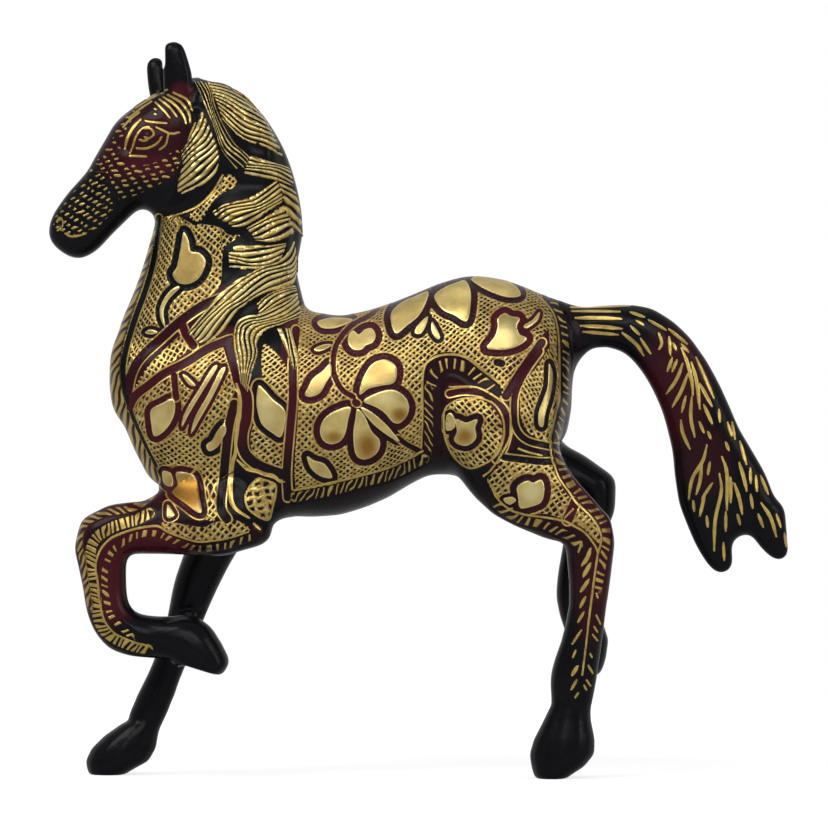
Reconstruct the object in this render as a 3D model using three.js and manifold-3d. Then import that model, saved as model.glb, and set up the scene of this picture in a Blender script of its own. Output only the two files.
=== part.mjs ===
// Trotting horse figurine of cast brass, about 250 mm long.
// The trunk, neck and head are two hollow castings that meet in the figure's middle plane. Four solid legs
// seat on the trunk and are located by pins, and a solid forked tail is held by a stud between the halves.
// Millimetres, +Z up. The horse looks along -X, and its left side faces -Y.
import * as THREE from "three";
import { mergeVertices } from "three/addons/utils/BufferGeometryUtils.js";
import Module from "manifold-3d";

// Main sizes. The sections below are drawn for the drawn size, and the figure is built to these.
const figureLength = 249.5;
const figureHeight = 247;
const figureWidth = 60;
const drawnSize = { length: 249.5, height: 247, width: 60 };

// Walls and joints
const wallThickness = 3.5;
const jointGap = 0.3; // filled with brazing metal on the real figure
const pinDiameter = 6;
const pinDepthInLeg = 5;
const pinDepthInBody = 7;
const studDiameter = 6;
const studDepthInTail = 14;
const studDepthInBody = 14;
const bossDiameter = 15;
const maneRelief = 2;

// Trunk, from the breast to the buttocks: a section at x reaches from bottom to top
const trunk = {
  breast: { x: -100, top: 150, bottom: 119.5, wide: 27 },
  shoulderPoint: { x: -91, top: 154, bottom: 100.5, wide: 39 },
  shoulder: { x: -77, top: 157, bottom: 92, wide: 46 },
  elbow: { x: -60, top: 159, bottom: 87.5, wide: 50 },
  girth: { x: -43.5, top: 158.5, bottom: 87.5, wide: 53 },
  barrel: { x: -26.5, top: 155.5, bottom: 88, wide: 55 },
  loin: { x: -10, top: 159.5, bottom: 94, wide: 54 },
  flank: { x: 3.5, top: 165, bottom: 101.5, wide: 50 },
  croup: { x: 17, top: 169, bottom: 101, wide: 52 },
  haunch: { x: 31, top: 167, bottom: 102, wide: 51 },
  buttock: { x: 42.5, top: 162, bottom: 106, wide: 43 },
  dock: { x: 47.5, top: 157.5, bottom: 112, wide: 31 },
};
const trunkEndLength = 4.5;

// Neck, from the withers to the poll: a section at z reaches from front to back
const neck = {
  base: { z: 140, front: -103, back: -38, wide: 38 },
  lower: { z: 152, front: -101, back: -37, wide: 38 },
  withers: { z: 160.5, front: -97.4, back: -38.5, wide: 36 },
  middle: { z: 171, front: -93.5, back: -41, wide: 34 },
  upper: { z: 183.5, front: -90, back: -38.8, wide: 32 },
  throat: { z: 197.5, front: -87.5, back: -40.6, wide: 31 },
  nape: { z: 211, front: -87, back: -45, wide: 29 },
  crown: { z: 223, front: -87, back: -52.2, wide: 26 },
  poll: { z: 231, front: -84.5, back: -61.8, wide: 19 },
};
const pollLength = 4.5;

// Head and limbs: centres of the sections with their size in the figure's plane (tall) and across it (wide)
const head = {
  occiput: { x: -78.9, y: 0, z: 219.9, tall: 29, wide: 26 },
  cheek: { x: -90.6, y: 0, z: 209.2, tall: 33.5, wide: 26 },
  eye: { x: -97.8, y: 0, z: 203.6, tall: 25.8, wide: 23.5 },
  face: { x: -103.7, y: 0, z: 196.8, tall: 21.4, wide: 19.5 },
  nose: { x: -110.2, y: 0, z: 190.2, tall: 20.6, wide: 17 },
  muzzle: { x: -115.9, y: 0, z: 183, tall: 19.2, wide: 16 },
  lip: { x: -118.3, y: 0, z: 179.6, tall: 15.4, wide: 13.4 },
};
const jowl = {
  back: { x: -79, y: 0, z: 209, tall: 24, wide: 24 },
  middle: { x: -86, y: 0, z: 200.5, tall: 21, wide: 24 },
  low: { x: -90.2, y: 0, z: 193.8, tall: 14, wide: 18 },
};
const muzzleLength = 3.5;
const leftEar = {
  root: { x: -80.4, y: -7.5, z: 226, tall: 11, wide: 7.2 },
  middle: { x: -81, y: -8.5, z: 236, tall: 9.8, wide: 6.4 },
  tip: { x: -82.4, y: -9, z: 243.4, tall: 8.2, wide: 5 },
};
const rightEar = {
  root: { x: -85.8, y: 7.5, z: 225.5, tall: 8.6, wide: 7.2 },
  middle: { x: -87.8, y: 8.5, z: 233.5, tall: 7.6, wide: 6.4 },
  tip: { x: -88.8, y: 9, z: 239, tall: 6.6, wide: 5 },
};
const earTipLength = 3.8;

const leftForeleg = {
  root: { x: -52.9, y: -13, z: 102, tall: 24, wide: 20 },
  elbow: { x: -59, y: -16.5, z: 89, tall: 26, wide: 22 },
  forearm: { x: -76, y: -17.5, z: 86, tall: 22.8, wide: 20 },
  upperKnee: { x: -95.6, y: -18, z: 83.9, tall: 17.8, wide: 18.2 },
  knee: { x: -105.2, y: -18, z: 80.8, tall: 19.8, wide: 17.4 },
  kneeBend: { x: -105.8, y: -18, z: 73.2, tall: 17, wide: 16 },
  cannon: { x: -105, y: -18, z: 64.5, tall: 14.6, wide: 14.5 },
  fetlock: { x: -103.8, y: -18, z: 56.6, tall: 14.4, wide: 14.2 },
  pastern: { x: -99.3, y: -18, z: 49.8, tall: 15.2, wide: 14.4 },
  coronet: { x: -90.7, y: -18, z: 47.7, tall: 14.2, wide: 14 },
  hoofTop: { x: -83, y: -18, z: 47.2, tall: 15, wide: 16.4 },
  hoofCrown: { x: -78, y: -18, z: 46.2, tall: 18.2, wide: 17.4 },
  hoof: { x: -75, y: -18, z: 43.6, tall: 18, wide: 18 },
  toe: { x: -69.3, y: -18, z: 36.6, tall: 14.4, wide: 17 },
};
const raisedSole = { x: -79.5, z: 38.6, slope: 16.5 };
const rightForeleg = {
  root: { x: -58.6, y: 13, z: 100.6, tall: 22, wide: 20 },
  elbow: { x: -65.7, y: 16.5, z: 87.1, tall: 20, wide: 21 },
  forearm: { x: -71.4, y: 17, z: 74.3, tall: 16, wide: 18 },
  knee: { x: -76.2, y: 16.5, z: 62.8, tall: 14.4, wide: 16 },
  cannonTop: { x: -80.4, y: 16, z: 48.7, tall: 11.4, wide: 13.8 },
  cannon: { x: -85.7, y: 15.5, z: 34.5, tall: 10.6, wide: 12.8 },
  fetlock: { x: -90.3, y: 15.2, z: 23.8, tall: 11.8, wide: 13.8 },
  pastern: { x: -93.2, y: 15, z: 17.4, tall: 11.6, wide: 13.6 },
};
const rightForeHoof = {
  ground: { z: -3, y: 15, front: -111, back: -100, wide: 16 },
  sole: { z: 0.4, y: 15, front: -112, back: -99, wide: 18 },
  rim: { z: 4.6, y: 15, front: -113, back: -91.4, wide: 19.4 },
  wall: { z: 8.9, y: 15, front: -111, back: -88.9, wide: 18.6 },
  coronet: { z: 13.2, y: 15, front: -106.6, back: -88.2, wide: 17 },
  top: { z: 17.5, y: 15, front: -100.4, back: -87.2, wide: 14.4 },
};
const leftHindLeg = {
  hip: { x: 29, y: -8, z: 139.7, tall: 30, wide: 22 },
  thigh: { x: 27.3, y: -16, z: 120.8, tall: 41, wide: 26 },
  stifle: { x: 30.4, y: -17, z: 106.8, tall: 38.2, wide: 26 },
  gaskin: { x: 41.2, y: -16.5, z: 94.2, tall: 26.4, wide: 21.5 },
  hock: { x: 56.2, y: -15.5, z: 84, tall: 18, wide: 17.4 },
  hockBend: { x: 57.3, y: -15, z: 74.3, tall: 15.8, wide: 15.2 },
  cannon: { x: 56.6, y: -14, z: 57.8, tall: 12.6, wide: 13.4 },
  shin: { x: 54.3, y: -13.2, z: 44.3, tall: 13.8, wide: 14 },
  fetlock: { x: 51.9, y: -12.7, z: 33.9, tall: 15.6, wide: 15.2 },
  pastern: { x: 51.3, y: -12.4, z: 25.1, tall: 13.6, wide: 14 },
};
const leftHindHoof = {
  ground: { z: -3, y: -12, front: 40, back: 49, wide: 16 },
  sole: { z: 0.4, y: -12, front: 38.8, back: 50, wide: 18 },
  heel: { z: 4, y: -12, front: 37.6, back: 55.6, wide: 19.4 },
  rim: { z: 8.2, y: -12, front: 37, back: 59, wide: 19.4 },
  wall: { z: 13, y: -12, front: 38.4, back: 59.2, wide: 18.4 },
  coronet: { z: 20, y: -12.2, front: 42, back: 57.8, wide: 15.6 },
  top: { z: 25.1, y: -12.4, front: 44.4, back: 57.8, wide: 14 },
};
const rightHindLeg = {
  hip: { x: 29, y: 8, z: 139.7, tall: 30, wide: 22 },
  thigh: { x: 28, y: 16, z: 122.8, tall: 38, wide: 26 },
  stifle: { x: 33, y: 17, z: 111, tall: 30, wide: 26 },
  gaskin: { x: 44.6, y: 16.5, z: 102.7, tall: 20.6, wide: 21 },
  hock: { x: 59.7, y: 15.5, z: 96.6, tall: 16.2, wide: 17.4 },
  hockBend: { x: 57.4, y: 15, z: 85.8, tall: 14.4, wide: 15.2 },
  cannon: { x: 54.7, y: 14.4, z: 73, tall: 13.2, wide: 13.4 },
  fetlock: { x: 53.2, y: 14, z: 60.5, tall: 13.4, wide: 14.6 },
  pastern: { x: 55.2, y: 14, z: 51.6, tall: 12.8, wide: 14 },
  hoofTop: { x: 57.4, y: 14, z: 45.2, tall: 14, wide: 16.2 },
  toe: { x: 56, y: 14, z: 37, tall: 13, wide: 17 },
};
const tail = {
  root: { x: 48.5, y: 0, z: 149.2, tall: 21.6, wide: 15 },
  dock: { x: 57.5, y: 0, z: 151, tall: 14.6, wide: 12.6 },
  crupper: { x: 65, y: 0, z: 151.6, tall: 14.6, wide: 13.4 },
  arch: { x: 74.6, y: 0, z: 149.7, tall: 18.2, wide: 14.4 },
  bend: { x: 83.8, y: 0, z: 141.5, tall: 20.2, wide: 15 },
  upper: { x: 91.7, y: 0, z: 127.6, tall: 21.6, wide: 15 },
  middle: { x: 96.7, y: 0, z: 113.4, tall: 24, wide: 15 },
  skirt: { x: 102.2, y: 0, z: 97, tall: 31.4, wide: 14 },
  fork: { x: 107.8, y: 0, z: 83, tall: 31.4, wide: 12 },
};
const tailFrontProng = {
  root: { x: 99.2, y: 0, z: 84.5, tall: 14.5, wide: 11 },
  middle: { x: 100.2, y: 0, z: 77, tall: 11.8, wide: 9 },
  tip: { x: 102.5, y: 0, z: 71, tall: 7.8, wide: 6.5 },
};
const tailRearProng = {
  root: { x: 116, y: 0, z: 89, tall: 15.5, wide: 11 },
  middle: { x: 119, y: 0, z: 80.4, tall: 11.2, wide: 9 },
  tip: { x: 121.8, y: 0, z: 75.2, tall: 6.4, wide: 6.5 },
};
const legEndLength = 2;
const raisedForeToeLength = 3.5;
const raisedHindToeLength = 4;
const hoofEndLength = 1;
const tailEndLength = 2;
const prongTipLength = 2.6;

// Locks of the mane on the left side, each from the crest down the neck. The right side mirrors them.
const locks = [
  { from: [-72.8, 224.5], over: [-71.8, 211], to: [-78, 199], wide: 13 },
  { from: [-71.5, 229], over: [-67, 218.5], to: [-59.5, 205.5], wide: 10 },
  { from: [-64.5, 227], over: [-57.5, 218], to: [-51, 208.5], wide: 13 },
  { from: [-58, 204.5], over: [-51.5, 203], to: [-47, 200.5], wide: 10 },
  { from: [-48, 196], over: [-55.5, 192], to: [-66, 190], wide: 11.5 },
  { from: [-45, 189], over: [-49, 183.5], to: [-56, 181], wide: 10.5 },
  { from: [-45.5, 180], over: [-52, 175], to: [-61.5, 174], wide: 10.5 },
  { from: [-46, 172], over: [-57.5, 165], to: [-74, 148.5], wide: 10.5 },
  { from: [-45, 161], over: [-54.5, 154], to: [-59, 135], wide: 10.5 },
];

// Where the pins stand in the figure's plane
const leftForelegPin = { x: -62, z: 96 };
const rightForelegPin = { x: -62, z: 95 };
const leftHindLegPin = { x: 32, z: 109 };
const rightHindLegPin = { x: 33, z: 112 };

const wasm = await Module();
wasm.setup();

// A closed three.js geometry as a solid that can be cut and joined
function solidOf(geometry) {
  const bare = geometry.clone();
  bare.deleteAttribute("normal");
  bare.deleteAttribute("uv");
  const merged = mergeVertices(bare, 1e-4);
  return new wasm.Manifold(
    new wasm.Mesh({
      numProp: 3,
      vertProperties: merged.attributes.position.array,
      triVerts: new Uint32Array(merged.index.array),
    }),
  );
}

function geometryOf(solid) {
  const mesh = solid.getMesh();
  return new THREE.BufferGeometry()
    .setAttribute("position", new THREE.BufferAttribute(mesh.vertProperties, 3))
    .setIndex(new THREE.BufferAttribute(mesh.triVerts, 1));
}

// Joins rings of points into a closed skin that ends in a pole at each end
function skin(rings, firstPole, lastPole) {
  const sides = rings[0].length;
  const points = [firstPole, ...rings.flat(), lastPole];
  const last = points.length - 1;
  const faces = [];
  for (let i = 0; i < sides; i++) {
    const j = (i + 1) % sides;
    faces.push(0, 1 + j, 1 + i);
    faces.push(last, last - sides + i, last - sides + j);
    for (let r = 0; r < rings.length - 1; r++) {
      const near = 1 + r * sides;
      const far = near + sides;
      faces.push(near + i, near + j, far + j, near + i, far + j, far + i);
    }
  }
  return new THREE.BufferGeometry().setFromPoints(points).setIndex(faces);
}

// Lofts rounded sections along the smooth line through their centres. Rings stand square to that line, or
// to the normal if one is given, and each end is a dome of the given length. grow thickens it all round.
function loft(sections, options) {
  const { sides, steps, dome, domeSteps = 2, fullness = 2.2, grow = 0, normal = null } = options;
  const centres = new THREE.CatmullRomCurve3(sections.map((s) => new THREE.Vector3(s.x, s.y, s.z)));
  const sizes = new THREE.CatmullRomCurve3(sections.map((s) => new THREE.Vector3(s.tall, s.wide, 0)));
  const across = new THREE.Vector3(0, 1, 0);
  const frameAt = (u) => {
    const centre = centres.getPoint(u);
    const along = normal ?? centres.getTangent(u);
    const side = across.clone().addScaledVector(along, -along.y).normalize();
    const up = new THREE.Vector3().crossVectors(along, side);
    return { centre, along, side, up, size: sizes.getPoint(u) };
  };
  const swell = (v) => Math.sign(v) * Math.abs(v) ** (2 / fullness);
  const ring = ({ centre, along, side, up, size }, shift, share) =>
    Array.from({ length: sides }, (_, i) => {
      const angle = (2 * Math.PI * i) / sides;
      const y = share * (size.y / 2 + grow) * swell(Math.cos(angle));
      const z = share * (size.x / 2 + grow) * swell(Math.sin(angle));
      return centre.clone().addScaledVector(along, shift).addScaledVector(side, y).addScaledVector(up, z);
    });
  const first = frameAt(0);
  const last = frameAt(1);
  const domeAngle = (k) => (k / (domeSteps + 1)) * (Math.PI / 2);
  const reach = dome + grow;
  const rings = [];
  for (let k = domeSteps; k > 0; k--) {
    rings.push(ring(first, -reach * Math.sin(domeAngle(k)), Math.cos(domeAngle(k))));
  }
  const count = (sections.length - 1) * steps;
  for (let k = 0; k <= count; k++) rings.push(ring(frameAt(k / count), 0, 1));
  for (let k = 1; k <= domeSteps; k++) {
    rings.push(ring(last, reach * Math.sin(domeAngle(k)), Math.cos(domeAngle(k))));
  }
  const firstPole = first.centre.clone().addScaledVector(first.along, -reach);
  const lastPole = last.centre.clone().addScaledVector(last.along, reach);
  return solidOf(skin(rings, firstPole, lastPole));
}

function cylinder(diameter, length, axis, centre) {
  const sides = 20;
  const geometry = new THREE.CylinderGeometry(diameter / 2, diameter / 2, length, sides);
  const turn = new THREE.Quaternion().setFromUnitVectors(new THREE.Vector3(0, 1, 0), axis);
  geometry.applyQuaternion(turn).translate(centre.x, centre.y, centre.z);
  return solidOf(geometry);
}

function box(low, high) {
  const size = new THREE.Vector3().subVectors(high, low);
  const centre = new THREE.Vector3().addVectors(low, high).multiplyScalar(0.5);
  return solidOf(new THREE.BoxGeometry(size.x, size.y, size.z).translate(centre.x, centre.y, centre.z));
}

const joined = (solids) => solids.reduce((all, one) => all.add(one));

// From the drawn size to the main sizes. A height that lies aslant in the plane takes the mean scale.
const lengthScale = figureLength / drawnSize.length;
const heightScale = figureHeight / drawnSize.height;
const widthScale = figureWidth / drawnSize.width;
const planeScale = Math.sqrt(lengthScale * heightScale);
const placed = ({ x, z }) => ({ x: x * lengthScale, z: z * heightScale });
const sized = ({ x, y, z, tall, wide }) => ({
  ...placed({ x, z }),
  y: y * widthScale,
  tall: tall * planeScale,
  wide: wide * widthScale,
});
const limbSections = (sections) => Object.values(sections).map(sized);

// Sections given by their edges as centred ones, for the loft
const trunkSections = Object.values(trunk).map(({ x, top, bottom, wide }) => ({
  ...placed({ x, z: (top + bottom) / 2 }),
  y: 0,
  tall: (top - bottom) * heightScale,
  wide: wide * widthScale,
}));
const levelSections = (sections) =>
  Object.values(sections).map(({ y = 0, z, front, back, wide }) => ({
    ...placed({ x: (front + back) / 2, z }),
    y: y * widthScale,
    tall: (back - front) * lengthScale,
    wide: wide * widthScale,
  }));
const neckSections = levelSections(neck);
const headSections = limbSections(head);
const alongX = new THREE.Vector3(1, 0, 0);
const alongY = new THREE.Vector3(0, 1, 0);
const alongZ = new THREE.Vector3(0, 0, 1);
const bodyFullness = 2.3;

// Half the width of a run of sections at a point of the figure's plane: along is measured on the axis that
// the run follows, offset on the other one
function halfWidthAt(sections, axis, along, otherAxis, offset) {
  const place = THREE.MathUtils.clamp(along, sections[0][axis], sections.at(-1)[axis]);
  const after = sections.findIndex((s, i) => i > 0 && s[axis] >= place);
  const [a, b] = [sections[after - 1], sections[after]];
  const share = (place - a[axis]) / (b[axis] - a[axis]);
  const between = (key) => THREE.MathUtils.lerp(a[key], b[key], share);
  const out = Math.min(1, Math.abs(offset - between(otherAxis)) / (between("tall") / 2));
  return (between("wide") / 2) * (1 - out ** bodyFullness) ** (1 / bodyFullness);
}

const trunkHalfWidth = (x, z) => halfWidthAt(trunkSections, "x", x, "z", z);
const bodyHalfWidth = (x, z) => Math.max(trunkHalfWidth(x, z), halfWidthAt(neckSections, "z", z, "x", x));

// The outside of trunk, neck and head as one solid
function bodyForm(grow) {
  const form = { fullness: bodyFullness, grow, steps: 2 };
  return joined([
    loft(trunkSections, { ...form, sides: 28, dome: trunkEndLength, normal: alongX }),
    loft(neckSections, { ...form, sides: 20, dome: pollLength, normal: alongZ }),
    loft(headSections, { ...form, sides: 18, dome: muzzleLength }),
    loft(limbSections(jowl), { ...form, sides: 12, dome: muzzleLength }),
  ]);
}

// The hollow inside them, a wall's thickness in from every side
function bodyHollow() {
  const form = { fullness: bodyFullness, grow: -wallThickness, steps: 1 };
  const inside = { ...form, dome: wallThickness, domeSteps: 1 };
  const innerSections = (sections) => sections.slice(1, -1);
  return joined([
    loft(innerSections(trunkSections), { ...inside, sides: 20, normal: alongX }),
    loft(innerSections(neckSections), { ...inside, sides: 16, normal: alongZ }),
    loft(innerSections(headSections), { ...inside, sides: 12 }),
  ]);
}

// One lock of the mane: a flat swell that lies half sunk in the side of the neck and thins towards its end
function maneLock({ from, over, to, wide }, side) {
  const section = ([drawnX, drawnZ], share) => {
    const { x, z } = placed({ x: drawnX, z: drawnZ });
    const y = side * Math.max(maneRelief, bodyHalfWidth(x, z));
    return { x, y, z, tall: wide * planeScale * share, wide: 2 * maneRelief * share };
  };
  const sections = [section(from, 0.8), section(over, 1), section(to, 0.55)];
  return loft(sections, { sides: 8, steps: 2, dome: maneRelief, domeSteps: 1 });
}

const reachAll = 2 * figureLength; // beyond the figure in every direction
function sideOf(side) {
  const seam = (side * jointGap) / 2;
  const far = side * reachAll;
  return box(
    new THREE.Vector3(-reachAll, Math.min(seam, far), -reachAll),
    new THREE.Vector3(reachAll, Math.max(seam, far), reachAll),
  );
}

// A pin lies across the figure and passes from a leg through the trunk's wall
function pinAt(drawnPlace, side, clearance) {
  const { x, z } = placed(drawnPlace);
  const surface = trunkHalfWidth(x, z);
  const inner = surface - pinDepthInBody - clearance;
  const outer = surface + pinDepthInLeg + clearance;
  const centre = new THREE.Vector3(x, (side * (inner + outer)) / 2, z);
  return cylinder(pinDiameter + 2 * clearance, outer - inner, alongY, centre);
}

// The stud lies in the seam at the top of the rump, and a boss thickens the wall around it
const { x: rumpEnd, z: studHeight } = placed({ x: trunk.dock.x, z: tail.root.z });
function studForm(diameter, clearance) {
  const inner = rumpEnd - studDepthInBody - clearance;
  const outer = rumpEnd + studDepthInTail + clearance;
  const centre = new THREE.Vector3((inner + outer) / 2, 0, studHeight);
  return cylinder(diameter + 2 * clearance, outer - inner, alongX, centre);
}

const left = -1;
const right = 1;
const bodyOutside = bodyForm(0);
const bodyClearance = bodyForm(jointGap);
const hollow = bodyHollow();
const studHole = studForm(studDiameter, jointGap);
const bossLength = studDepthInBody + jointGap + wallThickness;
const boss = cylinder(
  bossDiameter,
  bossLength,
  alongX,
  new THREE.Vector3(rumpEnd - bossLength / 2, 0, studHeight),
).intersect(bodyOutside);

const legPins = {
  left_foreleg_pin: { at: leftForelegPin, side: left },
  right_foreleg_pin: { at: rightForelegPin, side: right },
  left_hind_leg_pin: { at: leftHindLegPin, side: left },
  right_hind_leg_pin: { at: rightHindLegPin, side: right },
};

function bodyHalf(side, ear) {
  const mane = joined(locks.map((lock) => maneLock(lock, side)));
  const shell = bodyOutside.add(mane).subtract(hollow).add(boss).subtract(studHole);
  const holes = Object.values(legPins).map(({ at, side: pinSide }) => pinAt(at, pinSide, jointGap));
  return shell
    .add(loft(limbSections(ear), { sides: 12, steps: 2, dome: earTipLength }).subtract(hollow))
    .subtract(joined(holes))
    .intersect(sideOf(side));
}

const below = box(
  new THREE.Vector3(-reachAll, -reachAll, -reachAll),
  new THREE.Vector3(reachAll, reachAll, 0),
);

// A leg that stands on the ground ends in a hoof with level rings and a flat sole
function standing(leg, hoof) {
  const form = { sides: 14, steps: 1, dome: hoofEndLength, domeSteps: 1, normal: alongZ };
  return leg.add(loft(levelSections(hoof), form)).subtract(below);
}

// The sole of the raised hoof is a flat that falls towards the toe
function raised(leg, sole) {
  const { x, z } = placed(sole);
  const cut = new THREE.BoxGeometry(reachAll, reachAll, reachAll)
    .translate(reachAll / 2, 0, -reachAll / 2)
    .rotateY(THREE.MathUtils.degToRad(sole.slope))
    .translate(x, 0, z);
  return leg.subtract(solidOf(cut));
}

function legForm(sections, dome) {
  return loft(limbSections(sections), { sides: 14, steps: 2, dome });
}

function seated(leg, { at, side }) {
  return leg.subtract(bodyClearance).subtract(pinAt(at, side, jointGap));
}

function tailForm() {
  const prong = { sides: 12, steps: 2, dome: prongTipLength };
  return joined([
    loft(limbSections(tail), { sides: 16, steps: 2, dome: tailEndLength }),
    loft(limbSections(tailFrontProng), prong),
    loft(limbSections(tailRearProng), prong),
  ])
    .subtract(bodyClearance)
    .subtract(studHole);
}

const lacquer = new THREE.MeshStandardMaterial({ color: 0x3a1418, roughness: 0.35, metalness: 0.4 });
const blackLacquer = new THREE.MeshStandardMaterial({ color: 0x14141a, roughness: 0.3, metalness: 0.3 });
const bareBrass = new THREE.MeshStandardMaterial({ color: 0xb08d45, roughness: 0.4, metalness: 1 });

const raisedFore = seated(legForm(leftForeleg, raisedForeToeLength), legPins.left_foreleg_pin);
const standingFore = seated(legForm(rightForeleg, legEndLength), legPins.right_foreleg_pin);
const standingHind = seated(legForm(leftHindLeg, legEndLength), legPins.left_hind_leg_pin);
const raisedHind = seated(legForm(rightHindLeg, raisedHindToeLength), legPins.right_hind_leg_pin);

const solids = {
  body_left_half: [bodyHalf(left, leftEar), lacquer],
  body_right_half: [bodyHalf(right, rightEar), lacquer],
  left_foreleg: [raised(raisedFore, raisedSole), lacquer],
  right_foreleg: [standing(standingFore, rightForeHoof), blackLacquer],
  left_hind_leg: [standing(standingHind, leftHindHoof), lacquer],
  right_hind_leg: [raisedHind, blackLacquer],
  tail: [tailForm(), lacquer],
  tail_stud: [studForm(studDiameter, 0), bareBrass],
};
for (const [name, { at, side }] of Object.entries(legPins)) {
  solids[name] = [pinAt(at, side, 0), bareBrass];
}

const horse = new THREE.Group();
for (const [name, [solid, material]] of Object.entries(solids)) {
  const mesh = new THREE.Mesh(geometryOf(solid), material);
  mesh.name = name;
  horse.add(mesh);
}

// The origin lies on the ground, under the middle of the figure's length and width
const extent = new THREE.Box3().setFromObject(horse);
const middle = extent.getCenter(new THREE.Vector3());
for (const mesh of horse.children) mesh.position.set(-middle.x, -middle.y, -extent.min.z);

export default horse;
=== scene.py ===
"""Looks of the trotting brass horse: one smooth chased and lacquered skin over the CAD castings."""

import math

import bmesh
import bpy
import numpy as np
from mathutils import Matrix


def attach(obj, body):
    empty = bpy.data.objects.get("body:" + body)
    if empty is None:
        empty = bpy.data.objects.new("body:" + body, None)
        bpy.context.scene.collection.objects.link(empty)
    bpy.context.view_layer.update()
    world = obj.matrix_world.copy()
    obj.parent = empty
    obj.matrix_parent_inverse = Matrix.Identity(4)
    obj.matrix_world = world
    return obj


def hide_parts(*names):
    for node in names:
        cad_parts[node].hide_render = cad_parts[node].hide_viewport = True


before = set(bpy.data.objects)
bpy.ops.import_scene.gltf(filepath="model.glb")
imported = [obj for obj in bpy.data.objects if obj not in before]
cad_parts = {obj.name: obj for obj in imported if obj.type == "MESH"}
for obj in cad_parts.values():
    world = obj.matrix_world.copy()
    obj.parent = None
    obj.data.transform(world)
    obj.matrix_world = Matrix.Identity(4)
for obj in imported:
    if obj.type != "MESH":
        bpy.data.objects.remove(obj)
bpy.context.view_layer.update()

import openvdb as vdb
from mathutils import Vector

MM = 0.001
# step of the distance fields in mm, their reach and the margin round the figure in steps
VOXEL = 0.53
REACH = 16
MARGIN = 20
SHELLS = ["body_left_half", "body_right_half"]
LIMBS = ["left_foreleg", "right_foreleg", "left_hind_leg", "right_hind_leg", "tail"]
PINS = [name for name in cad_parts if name.endswith("_pin") or name == "tail_stud"]


# The skin: distance fields of the castings, joined, smoothed and turned into a fine mesh


def read(things, key, kind, width):
    values = np.empty((len(things), width), kind)
    things.foreach_get(key, values.ravel())
    return values


def node_mesh(name):
    """A CAD node's points in mm and its triangles."""
    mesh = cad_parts[name].data
    mesh.calc_loop_triangles()
    corners = read(mesh.loop_triangles, "vertices", np.int32, 3)
    return read(mesh.vertices, "co", np.float32, 3) / MM, corners.astype(np.uint32)


castings = {name: node_mesh(name) for name in SHELLS + LIMBS + PINS}
every_place = np.concatenate([places for places, _ in castings.values()])
low = np.floor(every_place.min(0) / VOXEL).astype(int) - MARGIN
shape = tuple(np.ceil(every_place.max(0) / VOXEL).astype(int) + MARGIN - low)
# voxel centres lie half a voxel off the middle plane, so that a row of cells straddles it
SHIFT = np.array((0, VOXEL / 2, 0))
grid_place = vdb.createLinearTransform(
    [[VOXEL, 0, 0, 0], [0, VOXEL, 0, 0], [0, 0, VOXEL, 0], [*SHIFT, 1]]
)
corner = tuple(int(v) for v in low)


def dense(places, triangles=None, quads=None):
    """Distances to a closed mesh at every step, negative inside it."""
    grid = vdb.FloatGrid.createLevelSetFromPolygons(
        places,
        triangles=np.zeros((0, 3), np.uint32) if triangles is None else triangles,
        quads=np.zeros((0, 4), np.uint32) if quads is None else quads,
        transform=grid_place,
        halfWidth=REACH,
    )
    field = np.full(shape, REACH * VOXEL, np.float32)
    grid.copyToArray(field, ijk=corner)
    return field


def contour(field):
    """The surface where a field of distances is zero, as points and quads."""
    grid = vdb.FloatGrid(REACH * VOXEL)
    grid.copyFromArray(field, ijk=corner)
    grid.transform = grid_place
    places, quads = grid.convertToQuads(0.0)
    return np.ascontiguousarray(places, np.float32), np.ascontiguousarray(quads)


def axis_places(axis):
    return (np.arange(shape[axis]) + low[axis]) * VOXEL + SHIFT[axis]


X, Y, Z = (axis_places(a).astype(np.float32) for a in range(3))


def filled(field, top):
    """The field with everything between the two outer walls of each cross line made solid, below top."""
    inside = field < 0
    first = inside.argmax(1)[:, None, :]
    last = (shape[1] - 1 - inside[:, ::-1].argmax(1))[:, None, :]
    row = np.arange(shape[1])[None, :, None]
    between = inside.any(1)[:, None, :] & (row >= first) & (row <= last) & (Z < top)[None, None, :]
    return np.where(between & (field >= 0), np.float32(-REACH * VOXEL), field)


def joined(a, b, reach):
    """Union of two fields with a fillet where their surfaces meet at an angle."""
    near = np.clip(1 - np.abs(a - b) / np.float32(reach), 0, None)
    return np.minimum(a, b) - near * near * np.float32(reach / 4)


def blurred(field, sigma):
    steps = int(math.ceil(3 * sigma / VOXEL))
    weights = np.exp(-0.5 * (np.arange(steps + 1) * VOXEL / sigma) ** 2)
    weights /= weights[0] + 2 * weights[1:].sum()
    for axis in range(3):
        size = field.shape[axis]
        spare = np.pad(field, [(steps, steps) if a == axis else (0, 0) for a in range(3)], "edge")
        spare = np.moveaxis(spare, axis, 0)
        out = spare[steps : steps + size] * np.float32(weights[0])
        for k in range(1, steps + 1):
            after, before = steps + k, steps - k
            out += np.float32(weights[k]) * (spare[after : after + size] + spare[before : before + size])
        field = np.ascontiguousarray(np.moveaxis(out, 0, axis))
    return field


def smoothed(field, sigma):
    """A blur that takes the facets off and keeps the curvature, so that slim limbs don't shrink."""
    once = blurred(field, sigma)
    return 2 * once - blurred(once, sigma)


def ramp(value, start, end):
    t = np.clip((value - start) / (end - start), 0, 1)
    return t * t * (3 - 2 * t)


def span(value, start, end, soft):
    """1 between start and end, falling to 0 within soft on both sides."""
    return ramp(value, start - soft, start) * (1 - ramp(value, end, end + soft))


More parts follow.
